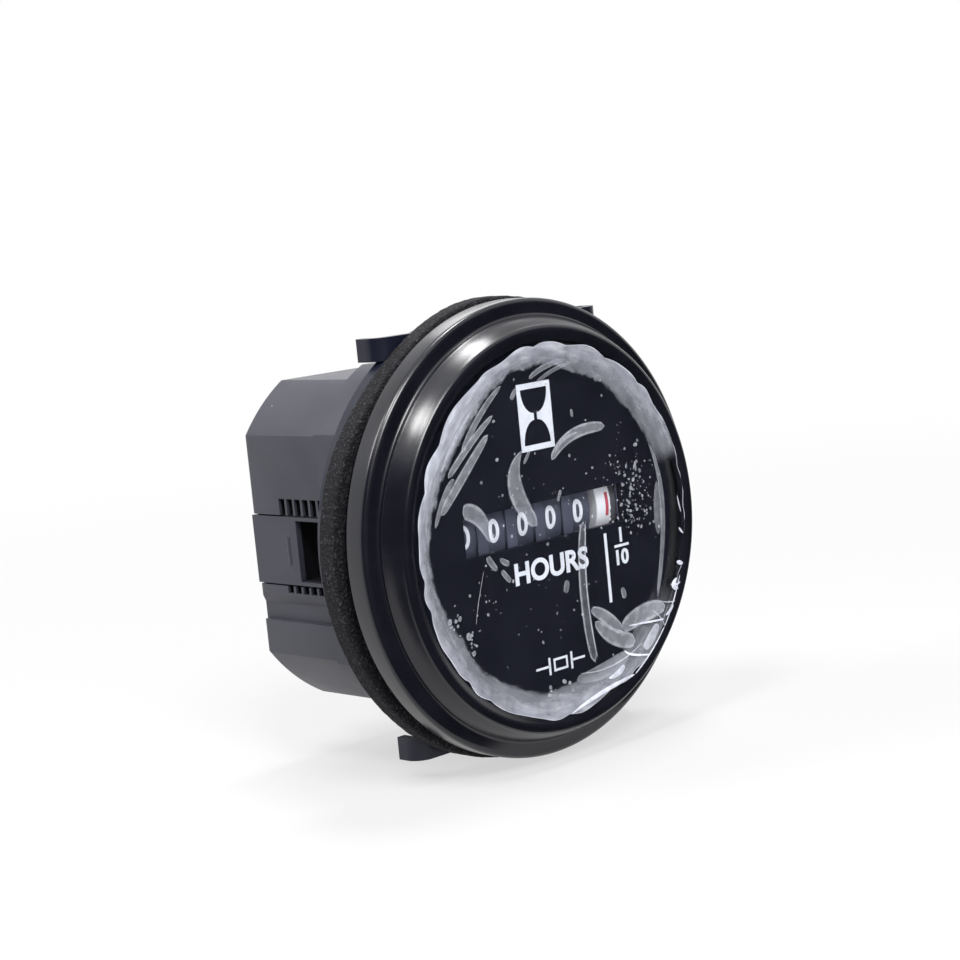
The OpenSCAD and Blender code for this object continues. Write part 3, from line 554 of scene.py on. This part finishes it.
def polish(wire, weight, least=0.04):  # gloss that grows at grazing angles, alike from both sides
    facing = wire.add("ShaderNodeLayerWeight", None, "Facing", Blend=0.5)
    return (least + (1 - least) * facing ** 5) * weight


def glossOver(wire, tint, rough, share):  # a clear shader with a share of gloss over it
    clear = wire.add("ShaderNodeBsdfTransparent", None, Color=colour(*tint))
    gloss = wire.add("ShaderNodeBsdfGlossy", None, Color=colour(1, 1, 1), Roughness=rough)
    return wire.add("ShaderNodeMixShader", None, i0=share, i1=clear, i2=gloss)


def clearLens():
    made, _, wire = startMaterial("lensClear", Roughness=lensLook["rough"])
    setSurface(glossOver(wire, lensLook["tint"], lensLook["rough"], polish(wire, lensLook["polish"])))
    return made


wear(nodes["lens"], clearLens())

# protective film: a thin sheet stuck on the lens, climbing onto the lip, with a scalloped edge
# inner and density give the hazy ring's inner radius and strength at angles round the dial
filmLook = {"x": 0.45, "z": -0.3, "flat": 21.6, "rim": 24.35, "lap": 0.35, "lens": -10.74, "lip": -11.4,
            "climb": 0.8, "steps": 360, "flatRows": 24, "climbRows": 8, "smooth": 80.0, "across": 0.0494,
            "lobes": 9, "lobeScale": 2.3, "lobeSway": 4.0, "lobeBase": 0.6, "scallop": 0.5,
            "waver": 0.3, "waverScale": 6.0, "dip": (-76.0, 10.0, 0.75), "blister": 0.3, "blisterScale": 9.0,
            "blisterEnd": 1.2, "wrinkle": 0.05, "wrinkleScale": 420, "calm": 8,
            "haze": (0.6, 0.62, 0.72), "brightHaze": (0.74, 0.76, 0.84), "innerRange": (19.0, 24.0),
            "inner": [(-180, 22.3), (-165, 21.9), (-150, 20.9), (-135, 21.6), (-120, 21.1), (-105, 21.0),
                      (-90, 20.3), (-62, 20.6), (-40, 20.4), (-22, 20.4), (14, 21.0), (30, 20.7), (60, 20.9),
                      (75, 20.9), (90, 21.7), (105, 22.0), (120, 21.3), (135, 20.7), (150, 20.9), (165, 21.8),
                      (180, 22.3)],
            "density": [(-180, 0.56), (-150, 0.44), (-120, 0.46), (-90, 0.52), (-62, 0.34), (-48, 0.3),
                        (-36, 0.08), (-28, 0.0), (15, 0.0), (20, 0.3), (45, 0.42), (75, 0.5), (100, 0.66),
                        (125, 0.74), (155, 0.76), (180, 0.56)]}

# the film's haze: patches and pleats are noise over angle and radius, the hem is its outer edge
hazeLook = {"specular": 0.4, "patchSpread": (20, 0.8), "patchScale": 0.5, "patchRough": 0.55,
            "pleatSpread": (9, 1.6), "pleatScale": 0.8, "pleatRough": 0.6, "raggedScale": 420.0,
            "raggedRough": 0.65, "ragged": 2.2, "edge": (-0.3, 0.35), "shallow": 0.5, "deepen": (0.0, 3.2),
            "patchShare": 1.1, "pleatShare": 0.9, "hem": (0.95, 0.985), "hemBase": 0.45, "veil": 0.006,
            "most": 0.92, "bright": (0.45, 0.7), "rough": 0.3, "roughSpread": 0.2, "bump": 0.4,
            "bumpDepth": 0.0003, "polish": 0.5, "glossRough": 0.08}


def filmDepth(r):  # the film's y at a radius, in mm
    flat, rim = filmLook["flat"], filmLook["rim"] - filmLook["lap"]
    climb = min(1.0, max(0.0, (r - flat) / (rim - flat)))
    return filmLook["lens"] + (filmLook["lip"] - filmLook["lens"]) * climb ** filmLook["climb"]


def byAngle(wire, turn, table, low, high):  # a value that follows the angle round the dial
    stops = [((degrees + 180) / 360, (value - low) / (high - low)) for degrees, value in table]
    return wire.add("ShaderNodeValToRGB", {"stops": stops}, "Color", Fac=turn) * (high - low) + low


def polarNoise(wire, angle, r, spread, scale, rough):  # noise laid out by angle and radius
    vector = wire.add("ShaderNodeCombineXYZ", None, X=angle * spread[0], Y=r * spread[1], Z=0.0)
    return speckle(wire, scale, 4.0, rough, vector)


def overClear(wire, shader, mask, clear):  # clear where the mask is 0, the shader's finish where it is 1
    finish = Wire(wire.tree, shader.outputs[0])
    setSurface(wire.add("ShaderNodeMixShader", None, i0=mask, i1=clear, i2=finish))


def wrinkledFilm():
    look = hazeLook
    made, shader, wire = startMaterial("filmHaze", Specular_IOR_Level=look["specular"])
    x, z = along(wire, "X") - filmLook["x"], along(wire, "Z") - filmLook["z"]
    r = (x * x + z * z).root()
    angle = wire.calc("ARCTAN2", z, x)
    turn = angle / math.tau + 0.5
    patches = polarNoise(wire, angle, r, look["patchSpread"], look["patchScale"], look["patchRough"])
    pleats = polarNoise(wire, angle, r, look["pleatSpread"], look["pleatScale"], look["pleatRough"])
    ragged = (speckle(wire, look["raggedScale"], 5.0, look["raggedRough"]) - 0.5) * look["ragged"]
    past = r - byAngle(wire, turn, filmLook["inner"], *filmLook["innerRange"])
    density = byAngle(wire, turn, filmLook["density"], 0.0, 1.0)
    deepened = look["shallow"] + past.step(*look["deepen"]) * (1 - look["shallow"])
    ring = (past + ragged).step(*look["edge"]) * density * deepened
    ring = ring * (patches * look["patchShare"] + pleats * look["pleatShare"])
    toRim = wire.add("ShaderNodeAttribute", {"attribute_name": "toRim"}, "Fac")
    hem = toRim.step(*look["hem"]) * (look["hemBase"] + pleats)
    haze = ring.top(hem).top(patches * look["veil"]).low(look["most"])
    bright = pleats.step(*look["bright"])
    plug(shader, "Base Color", bright.blend(colour(*filmLook["haze"]), colour(*filmLook["brightHaze"])))
    plug(shader, "Roughness", look["rough"] + pleats * look["roughSpread"])
    bump = wire.add("ShaderNodeBump", None, Strength=look["bump"], Distance=look["bumpDepth"], Height=pleats)
    plug(shader, "Normal", bump)
    clear = glossOver(wire, (1, 1, 1), look["glossRough"], polish(wire, look["polish"]))
    overClear(wire, shader, haze, clear)
    return made


# marks in the film: air pockets and folds, bright creases, painted glints near the right rim, and fine
# bubbles, as thin patches on the sheet
# each has a start, middle and end in mm, half widths there, strength, and the share of it inside the edges
filmMarks = {
    "lift": 0.12, "dome": 0.05, "rows": 22, "columns": 10, "roundEnd": 10, "fadeEnd": 16,
    "pockets": [
        ((-4.3, 11.0), (-6.2, 6.6), (-2.9, 0.9), (0.12, 1.4, 0.9), 0.36, 0.6),
        ((0.7, 8.9), (4.9, 11.6), (11.2, 11.9), (0.5, 0.85, 0.7), 0.44, 0.55),
        ((1.4, 9.8), (3.4, 11.2), (5.9, 11.8), (0.12, 0.2, 0.12), 0.34, 0.8),
        ((5.5, 0.2), (4.4, -8.9), (5.3, -18.9), (0.7, 0.85, 0.8), 0.4, 0.25),
        ((-17.5, 9.4), (-13.3, 13.0), (-8.9, 16.1), (0.45, 0.55, 0.3), 0.4, 0.6),
        ((-19.2, 5.0), (-15.2, 9.0), (-10.0, 13.9), (0.5, 0.75, 0.5), 0.38, 0.65),
        ((-20.4, 3.6), (-18.4, 7.2), (-16.5, 9.2), (0.3, 0.45, 0.3), 0.3, 0.7),
        ((-14.8, 12.1), (-11.3, 16.2), (-7.0, 19.6), (0.4, 0.5, 0.3), 0.36, 0.6),
        ((-17.1, 12.4), (-13.3, 16.9), (-8.0, 20.9), (0.5, 0.6, 0.4), 0.3, 0.7),
        ((-18.6, 10.2), (-16.0, 13.6), (-12.6, 17.0), (0.2, 0.28, 0.2), 0.4, 0.9),
        ((-15.7, 4.8), (-13.0, 3.7), (-11.2, 0.2), (1.1, 1.2, 0.5), 0.36, 0.6),
        ((-12.1, -1.4), (-11.7, -2.2), (-10.7, -3.4), (0.35, 0.5, 0.35), 0.36, 0.55),
        ((-9.9, -2.0), (-9.5, -2.5), (-8.5, -3.0), (0.25, 0.42, 0.4), 0.36, 0.6),
        ((-9.9, -3.6), (-9.4, -4.3), (-8.5, -5.3), (0.3, 0.42, 0.35), 0.34, 0.55),
        ((-5.5, 17.6), (-4.9, 18.3), (-4.2, 18.9), (0.3, 0.4, 0.3), 0.34, 0.7),
        ((-4.3, 9.2), (-3.6, 10.0), (-3.0, 10.9), (0.2, 0.3, 0.2), 0.3, 0.7),
        ((1.5, -7.0), (1.3, -7.8), (1.0, -8.6), (0.35, 0.55, 0.4), 0.32, 0.6),
        ((11.6, -10.0), (11.9, -10.7), (12.0, -11.5), (0.3, 0.5, 0.4), 0.3, 0.65),
        ((1.9, 4.8), (1.6, 4.3), (1.2, 3.4), (0.2, 0.3, 0.2), 0.34, 0.7),
        ((5.2, 13.9), (5.2, 14.4), (5.1, 15.0), (0.15, 0.3, 0.15), 0.3, 0.8),
        ((-2.0, 19.8), (1.0, 21.0), (4.8, 21.5), (0.3, 0.4, 0.3), 0.32, 0.6),
        ((-0.7, 19.2), (2.6, 20.4), (5.9, 21.0), (0.25, 0.3, 0.25), 0.28, 0.6),
        ((5.4, -11.7), (8.1, -13.3), (10.9, -15.8), (0.5, 1.0, 0.8), 0.42, 0.6),
        ((11.0, -15.5), (14.8, -14.3), (19.2, -13.8), (0.9, 1.4, 0.9), 0.42, 0.65),
        ((6.0, -13.4), (9.0, -16.0), (13.2, -17.5), (0.5, 1.2, 1.1), 0.4, 0.65),
        ((1.5, -20.3), (6.5, -20.2), (11.5, -18.9), (0.5, 1.1, 0.8), 0.26, 0.7),
        ((19.3, 8.4), (21.0, -0.7), (18.2, -12.7), (0.2, 0.5, 0.25), 0.26, 0.8),
        ((20.2, 3.2), (20.0, -1.0), (19.7, -4.2), (0.2, 0.9, 0.2), 0.2, 0.9),
        ((17.4, -16.0), (15.9, -17.6), (14.3, -18.9), (0.4, 0.7, 0.5), 0.55, 0.85),
        ((-13.0, -3.0), (-14.5, -7.0), (-15.2, -9.5), (0.03, 0.05, 0.03), 0.4, 1.0)],
    # bright creases and hem lines; the short white streaks near the right rim are painted glints
    "creases": [
        ((6.0, 0.2), (5.0, -8.9), (5.9, -18.5), (0.08, 0.12, 0.1), 0.42, 1.0),
        ((12.3, -15.3), (15.2, -15.5), (18.7, -15.6), (0.1, 0.14, 0.12), 0.95, 1.0),
        ((11.1, -18.4), (12.2, -19.2), (15.3, -19.8), (0.12, 0.18, 0.12), 0.95, 1.0),
        ((-0.8, -24.4), (5.3, -22.9), (12.0, -21.8), (0.1, 0.3, 0.2), 0.95, 1.0),
        ((12.0, -21.8), (15.5, -19.5), (18.6, -16.6), (0.12, 0.14, 0.1), 0.95, 1.0),
        ((18.6, -16.6), (20.6, -13.9), (22.6, -10.2), (0.08, 0.12, 0.06), 0.9, 1.0),
        ((19.0, -15.2), (20.2, -14.6), (21.2, -13.9), (0.1, 0.3, 0.1), 0.95, 1.0),
        ((16.9, -14.0), (18.1, -15.4), (18.6, -16.6), (0.05, 0.07, 0.05), 0.8, 1.0),
        ((10.4, -20.2), (9.1, -21.0), (7.2, -21.4), (0.25, 0.4, 0.15), 0.8, 1.0),
        ((22.2, -8.4), (22.8, -8.6), (23.4, -8.8), (0.12, 0.34, 0.1), 0.95, 1.0),
        ((21.9, -10.5), (21.2, -11.5), (22.0, -12.0), (0.15, 0.45, 0.15), 0.95, 1.0),
        ((20.6, -11.2), (21.8, -11.4), (22.9, -11.0), (0.06, 0.16, 0.06), 0.9, 1.0),
        ((23.3, -3.8), (23.6, -4.3), (24.0, -4.7), (0.1, 0.18, 0.08), 0.8, 1.0),
        ((23.5, 0.6), (23.7, -0.6), (23.9, -1.8), (0.05, 0.1, 0.05), 0.7, 1.0),
        ((18.6, -13.2), (20.9, -13.6), (23.2, -13.2), (0.05, 0.08, 0.05), 0.8, 1.0),
        ((2.2, -19.6), (8.5, -19.9), (14.2, -17.9), (0.06, 0.1, 0.06), 0.5, 1.0)]}

# fine bubbles in clusters: middle, spread, count, and largest radius
bubbleLook = {
    "clusters": [
        ((15.9, 4.0), (1.5, 2.2), 80, 0.26), ((15.2, -0.4), (1.8, 1.6), 80, 0.24),
        ((13.2, 6.4), (1.6, 1.4), 30, 0.22), ((-18.4, -8.4), (0.7, 1.1), 14, 0.42),
        ((-16.2, -11.4), (0.8, 1.0), 14, 0.45), ((0.0, 0.0), (10.5, 10.5), 120, 0.24),
        ((-12.0, -6.0), (3.0, 3.0), 20, 0.2), ((-6.5, 4.5), (0.7, 3.0), 14, 0.12),
        ((-2.0, -21.0), (2.2, 0.5), 12, 0.3)],
    "seed": 11, "limit": 22.5, "smallest": 0.25, "stretch": (0.7, 1.5), "strength": (0.25, 0.6),
    "segments": 10, "edge": 0.87, "body": 0.75, "lift": 0.18}

markLook = {"specular": 0.4, "cloudScale": 900.0, "cloud": (0.3, 0.7), "rise": (0.35, 0.85),
            "fade": (0.8, 1.0), "thin": 0.6, "cloudShare": 0.8, "rough": 0.3, "roughSpread": 0.2}
markLayers = ("edge", "strength", "body")  # how far out, how strong, and the share inside the edges


def markFinish():
    look = markLook
    made, shader, wire = startMaterial("filmMark", Specular_IOR_Level=look["specular"])
    edge, strength, body = (wire.add("ShaderNodeAttribute", {"attribute_name": name}, "Fac")
                            for name in markLayers)
    cloud = speckle(wire, look["cloudScale"], 3.0)
    inside = body + (1 - body) * edge.step(*look["rise"])
    bright = cloud.step(*look["cloud"])
    plug(shader, "Base Color", bright.blend(colour(*filmLook["haze"]), colour(*filmLook["brightHaze"])))
    plug(shader, "Roughness", look["rough"] + cloud * look["roughSpread"])
    mask = strength * inside * (1 - edge.step(*look["fade"])) * (look["thin"] + cloud * look["cloudShare"])
    overClear(wire, shader, mask, wire.add("ShaderNodeBsdfTransparent", None, Color=colour(1, 1, 1)))
    return made


def addLayers(bm):
    return [bm.verts.layers.float.new(name) for name in markLayers]


def patch(bm, layers, start, middle, end, halves, strength, body):  # a bent strip with rounded ends
    start, middle, end = Vector(start), Vector(middle), Vector(end)
    bend = middle * 2 - (start + end) / 2
    rows, columns = filmMarks["rows"], filmMarks["columns"]
    made = bmesh.ops.create_grid(bm, x_segments=rows, y_segments=columns, size=1.0)["verts"]
    for v in made:
        t, across = (v.co.x + 1) / 2, v.co.y
        spot = start * (1 - t) ** 2 + bend * 2 * t * (1 - t) + end * t ** 2
        heading = ((bend - start) * (1 - t) + (end - bend) * t).normalized()
        half = halves[0] * (1 - t) * (1 - 2 * t) + halves[1] * 4 * t * (1 - t) + halves[2] * t * (2 * t - 1)
        half *= math.sqrt(max(0.0, 1 - (2 * t - 1) ** filmMarks["roundEnd"]))
        x, z = spot.x - heading.y * half * across, spot.y + heading.x * half * across
        lift = filmMarks["lift"] + filmMarks["dome"] * (1 - across * across)
        v.co = Vector((x, filmDepth(math.hypot(x, z)) - lift, z)) * mm
        v[layers[0]] = max(abs(across), abs(2 * t - 1) ** filmMarks["fadeEnd"])
        v[layers[1]], v[layers[2]] = strength, body


def bubbles():
    draw = random.Random(bubbleLook["seed"])
    bm = bmesh.new()
    edge, strength, body = addLayers(bm)
    for (x, z), (wide, tall), count, largest in bubbleLook["clusters"]:
        for _ in range(count):
            spot = Vector((draw.gauss(x, wide), 0, draw.gauss(z, tall)))
            size = largest * (bubbleLook["smallest"] + (1 - bubbleLook["smallest"]) * draw.random() ** 2) * mm
            stretch, spin = draw.uniform(*bubbleLook["stretch"]), draw.uniform(0, math.pi)
            weight = draw.uniform(*bubbleLook["strength"])
            if spot.length > bubbleLook["limit"]:
                continue
            made = bmesh.ops.create_circle(bm, cap_ends=True, cap_tris=True, segments=bubbleLook["segments"],
                                           radius=size)["verts"]
            for v in made:
                v[edge] = bubbleLook["edge"] if v.co.length > size / 2 else 0.0
                v[strength], v[body] = weight, bubbleLook["body"]
            bmesh.ops.scale(bm, verts=made, vec=(1, stretch, 1))
            for turn, axis in ((spin, "Z"), (math.pi / 2, "X")):
                bmesh.ops.rotate(bm, verts=made, cent=(0, 0, 0), matrix=Matrix.Rotation(turn, 3, axis))
            spot.y = filmDepth(spot.length) - bubbleLook["lift"]
            bmesh.ops.translate(bm, verts=made, vec=spot * mm)
    return bm


def addMarks():
    finish = markFinish()
    pieces = [keep("film_bubbles", bubbles(), "case", finish, filmLook["smooth"])]
    for kind in ("pockets", "creases"):
        bm = bmesh.new()
        layers = addLayers(bm)
        for mark in filmMarks[kind]:
            patch(bm, layers, *mark)
        pieces.append(keep("film_" + kind, bm, "case", finish, filmLook["smooth"]))
    return pieces


def edgeReach(a, out):  # how far the film's edge stands out at an angle, in mm
    middle, spread, depth = filmLook["dip"]
    sway = noise.noise(out * filmLook["lobeScale"]) * filmLook["lobeSway"]
    lobe = abs(math.sin(filmLook["lobes"] * a + sway)) - filmLook["lobeBase"]
    dip = depth * math.exp(-((math.degrees(a) - middle) / spread) ** 2)
    return lobe * filmLook["scallop"] + noise.noise(out * filmLook["waverScale"]) * filmLook["waver"] - dip


def addFilm():
    flat, rim = filmLook["flat"], filmLook["rim"]
    flatRows, climbRows = filmLook["flatRows"], filmLook["climbRows"]
    profile = [(flat * n / flatRows, filmLook["lens"]) for n in range(flatRows + 1)]
    climb = [flat + (rim - filmLook["lap"] - flat) * n / climbRows for n in range(1, climbRows + 1)]
    profile += [(r, filmDepth(r)) for r in climb] + [(rim, filmLook["lip"])]
    bm = lathe(profile, filmLook["steps"], closed=False)
    toRim = bm.verts.layers.float.new("toRim")
    for v in bm.verts:
        r, a = math.hypot(v.co.x, v.co.z) / mm, math.atan2(v.co.z, v.co.x)
        out = Vector((math.cos(a), 0, math.sin(a)))
        edge = max(0.0, (r - flat) / (rim - flat))
        v[toRim] = edge
        if edge > 0:
            v.co += out * edge ** 2 * edgeReach(a, out) * mm
            blister = max(0.0, noise.noise(out * filmLook["blisterScale"])) * filmLook["blister"]
            v.co.y -= blister * edge * (filmLook["blisterEnd"] - edge) * mm
        wrinkle = abs(noise.noise(v.co * filmLook["wrinkleScale"])) * filmLook["wrinkle"]
        v.co.y -= wrinkle * min(1.0, r / filmLook["calm"]) * mm
        v.co += Vector((filmLook["x"], 0, filmLook["z"])) * min(1.0, r / flat) * mm
    obj = keep("film_sheet", bm, "case", wrinkledFilm(), filmLook["smooth"])
    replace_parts(obj, "protective_film")
    addMarks()


addFilm()
print("lens and film done")

# inner works: finish, its kind, dark and light colours, roughness, and the nodes that wear it
innerLooks = [
    ("sealRubber", plastic, (0.014, 0.014, 0.015), (0.022, 0.022, 0.023), 0.75, ["lens_seal"]),
    ("frameCream", plastic, (0.55, 0.52, 0.44), (0.66, 0.63, 0.55), 0.5, ["counter_frame"]),
    ("pinionCream", plastic, (0.66, 0.62, 0.52), (0.76, 0.73, 0.63), 0.42,
     ["pinion_" + name for name in drumLook["order"][:5]] + ["drive_wheel"]),
    ("wheelTan", plastic, (0.48, 0.36, 0.18), (0.6, 0.47, 0.26), 0.4, ["reduction_wheel"]),
    ("rotorMagnet", plastic, (0.045, 0.036, 0.033), (0.07, 0.058, 0.053), 0.55, ["motor_rotor"]),
    ("bobbinCream", plastic, (0.72, 0.67, 0.55), (0.82, 0.78, 0.67), 0.45, ["coil_bobbin"]),
    ("boardGreen", plastic, (0.018, 0.09, 0.032), (0.03, 0.14, 0.05), 0.35, ["circuit_board"]),
    ("chipBlack", plastic, (0.01, 0.01, 0.011), (0.017, 0.017, 0.018), 0.55, ["driver_chip", "diode"]),
    ("sleeveBlue", plastic, (0.015, 0.035, 0.09), (0.025, 0.055, 0.13), 0.28, ["capacitor"]),
    ("resistorTan", plastic, (0.48, 0.3, 0.12), (0.58, 0.38, 0.17), 0.4, ["resistors"]),
    ("groundSteel", metal, (0.48, 0.49, 0.5), (0.58, 0.59, 0.61), 0.25,
     ["drum_shaft", "pinion_shaft", "quartz_crystal"]),
    ("rolledSteel", metal, (0.32, 0.33, 0.35), (0.42, 0.43, 0.45), 0.36, ["motor_stator", "motor_bracket"]),
    ("zincSteel", metal, (0.38, 0.39, 0.4), (0.5, 0.51, 0.52), 0.32, ["board_screws", "frame_screws"]),
    ("copperWire", metal, (0.4, 0.14, 0.05), (0.62, 0.25, 0.1), 0.3, ["coil_winding"]),
    ("tinPlate", metal, (0.58, 0.58, 0.58), (0.72, 0.72, 0.71), 0.3, ["terminal_plus", "terminal_minus"])]
brushedUpright = {"copperWire": (1, 1, 30), "tinPlate": (1, 1, 10)}


def dressInside():
    for name, kind, dark, light, rough, wearers in innerLooks:
        look = {"dark": dark, "light": light, "rough": rough}
        if name in brushedUpright:
            look["stretch"] = brushedUpright[name]
        finish = kind(name, look)
        for node in wearers:
            wear(nodes[node], finish)


dressInside()
print("inner works done")

# raised polarity marks beside the blades, rooted in the case's rear face
polarity = {"reach": 11.2, "arm": 2.2, "thick": 0.6, "rise": 0.25, "root": 0.1, "rear": 25.8}


def addPolarity():
    arm, thick = polarity["arm"], polarity["thick"]
    depth, top = polarity["rise"] + polarity["root"], polarity["rear"] + polarity["rise"]
    for name, side in (("plus", 1), ("minus", -1)):
        bm, x = bmesh.new(), side * polarity["reach"]
        bar(bm, x, 0, arm, thick, depth, top)
        if name == "plus":
            for end in (-1, 1):
                bar(bm, x, end * (arm + thick) / 4, thick, (arm - thick) / 2, depth, top)
        keep("polarity_" + name, bm, "case", caseMatt)


addPolarity()
print("polarity marks done")

# soft studio: white surround, soft lamps all round, and dark cards that only reflections see
# lamps have a place, size and power; cards have a middle, half width and depth, and a tilt about an axis
studio = {"ambient": 0.26, "floorGap": 0.0002, "floorReach": 6.0, "floorDark": (0.5, 0.5, 0.51),
          "floorLight": (0.54, 0.54, 0.54), "floorScale": 3.0, "floorRough": 0.85, "floorSpread": 0.1,
          "glow": 0.6, "glowFade": (0.05, 0.4), "cardScale": 20.0, "shades": (0.2, 0.8),
          "cardDark": (0.01, 0.01, 0.012), "cardLight": (0.02, 0.02, 0.024),
          "lamps": [("overheadRight", (0.13, 0.05, 0.63), 0.16, 2.0), ("key", (-0.28, -0.5, 0.62), 0.34, 5.0),
                    ("overheadLeft", (-0.33, -0.07, 0.56), 0.16, 1.9),
                    ("backLeft", (-0.4, 0.3, 0.42), 0.24, 1.4),
                    ("backRight", (0.34, 0.38, 0.42), 0.34, 0.9), ("fill", (-0.3, -0.9, 0.35), 0.9, 4.2)],
          "cards": [((0.0, -0.8, 0.2), (1.6, 0.55), "X", 90.0),
                    ((0.1, -0.513, -0.0285), (1.3, 0.5), "X", 0.0),
                    ((-0.75, -0.15, 0.29), (0.32, 0.3), "Y", 90.0),
                    ((-0.45, -0.1, -0.0284), (0.3, 0.12), "X", 0.0)]}


def seenRays(wire):  # 1 for camera, glossy and transmission rays
    path = wire.add("ShaderNodeLightPath", out="Is Camera Ray")
    return path.top(path.output("Is Glossy Ray")).top(path.output("Is Transmission Ray"))


def stageSheet(name, middle, halves, axis="X", tilt=0.0):  # a flat rectangle of the stage, sizes in metres
    bm = bmesh.new()
    bmesh.ops.create_grid(bm, x_segments=4, y_segments=4, size=1.0)
    bmesh.ops.scale(bm, verts=bm.verts[:], vec=(*halves, 1))
    turn = Matrix.Rotation(math.radians(tilt), 3, axis)
    bmesh.ops.rotate(bm, verts=bm.verts[:], cent=(0, 0, 0), matrix=turn)
    bmesh.ops.translate(bm, verts=bm.verts[:], vec=middle)
    return toObject(name, bm)


def addSurround():
    world = bpy.data.worlds.new("surround")
    world.use_nodes = True
    scene.world = world
    background = world.node_tree.nodes["Background"]
    background.inputs["Color"].default_value = colour(1, 1, 1)
    seen = seenRays(Wire(world.node_tree))
    plug(background, "Strength", studio["ambient"] + seen * (1 - studio["ambient"]))


def addFloor():
    reach = studio["floorReach"]
    floor = stageSheet("floor", (0, 0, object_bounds()[0].z - studio["floorGap"]), (reach, reach))
    made, shader, wire = startMaterial("paleFloor")
    shade = speckle(wire, studio["floorScale"]).step(*studio["shades"])
    plug(shader, "Base Color", shade.blend(colour(*studio["floorDark"]), colour(*studio["floorLight"])))
    plug(shader, "Roughness", studio["floorRough"] + shade * studio["floorSpread"])
    glow = wire.add("ShaderNodeEmission", None, Color=colour(1, 1, 1), Strength=1.0)
    distance = wire.add("ShaderNodeVectorMath", {"operation": "LENGTH"}, "Value", i0=place(wire))
    share = studio["glow"] + distance.step(*studio["glowFade"]) * (1 - studio["glow"])
    finish = Wire(wire.tree, shader.outputs[0])
    setSurface(wire.add("ShaderNodeMixShader", None, i0=seenRays(wire) * share, i1=finish, i2=glow))
    wear(floor, made)


def addLamps():
    for name, spot, size, power in studio["lamps"]:
        lamp = bpy.data.lights.new(name, "AREA")
        lamp.shape, lamp.size, lamp.energy = "DISK", size, power
        obj = bpy.data.objects.new(name, lamp)
        scene.collection.objects.link(obj)
        aim = -Vector(spot).normalized()
        obj.matrix_world = Matrix.Translation(spot) @ aim.to_track_quat("-Z", "Y").to_matrix().to_4x4()


def addCards():
    made, shader, wire = startMaterial("darkCard", Roughness=1.0, Specular_IOR_Level=0.0)
    shade = speckle(wire, studio["cardScale"]).step(*studio["shades"])
    plug(shader, "Base Color", shade.blend(colour(*studio["cardDark"]), colour(*studio["cardLight"])))
    for number, shape in enumerate(studio["cards"]):
        card = stageSheet(f"card{number}", *shape)
        card.visible_camera = card.visible_diffuse = card.visible_shadow = card.visible_transmission = False
        wear(card, made)


addSurround()
addFloor()
addLamps()
addCards()
print("studio set")
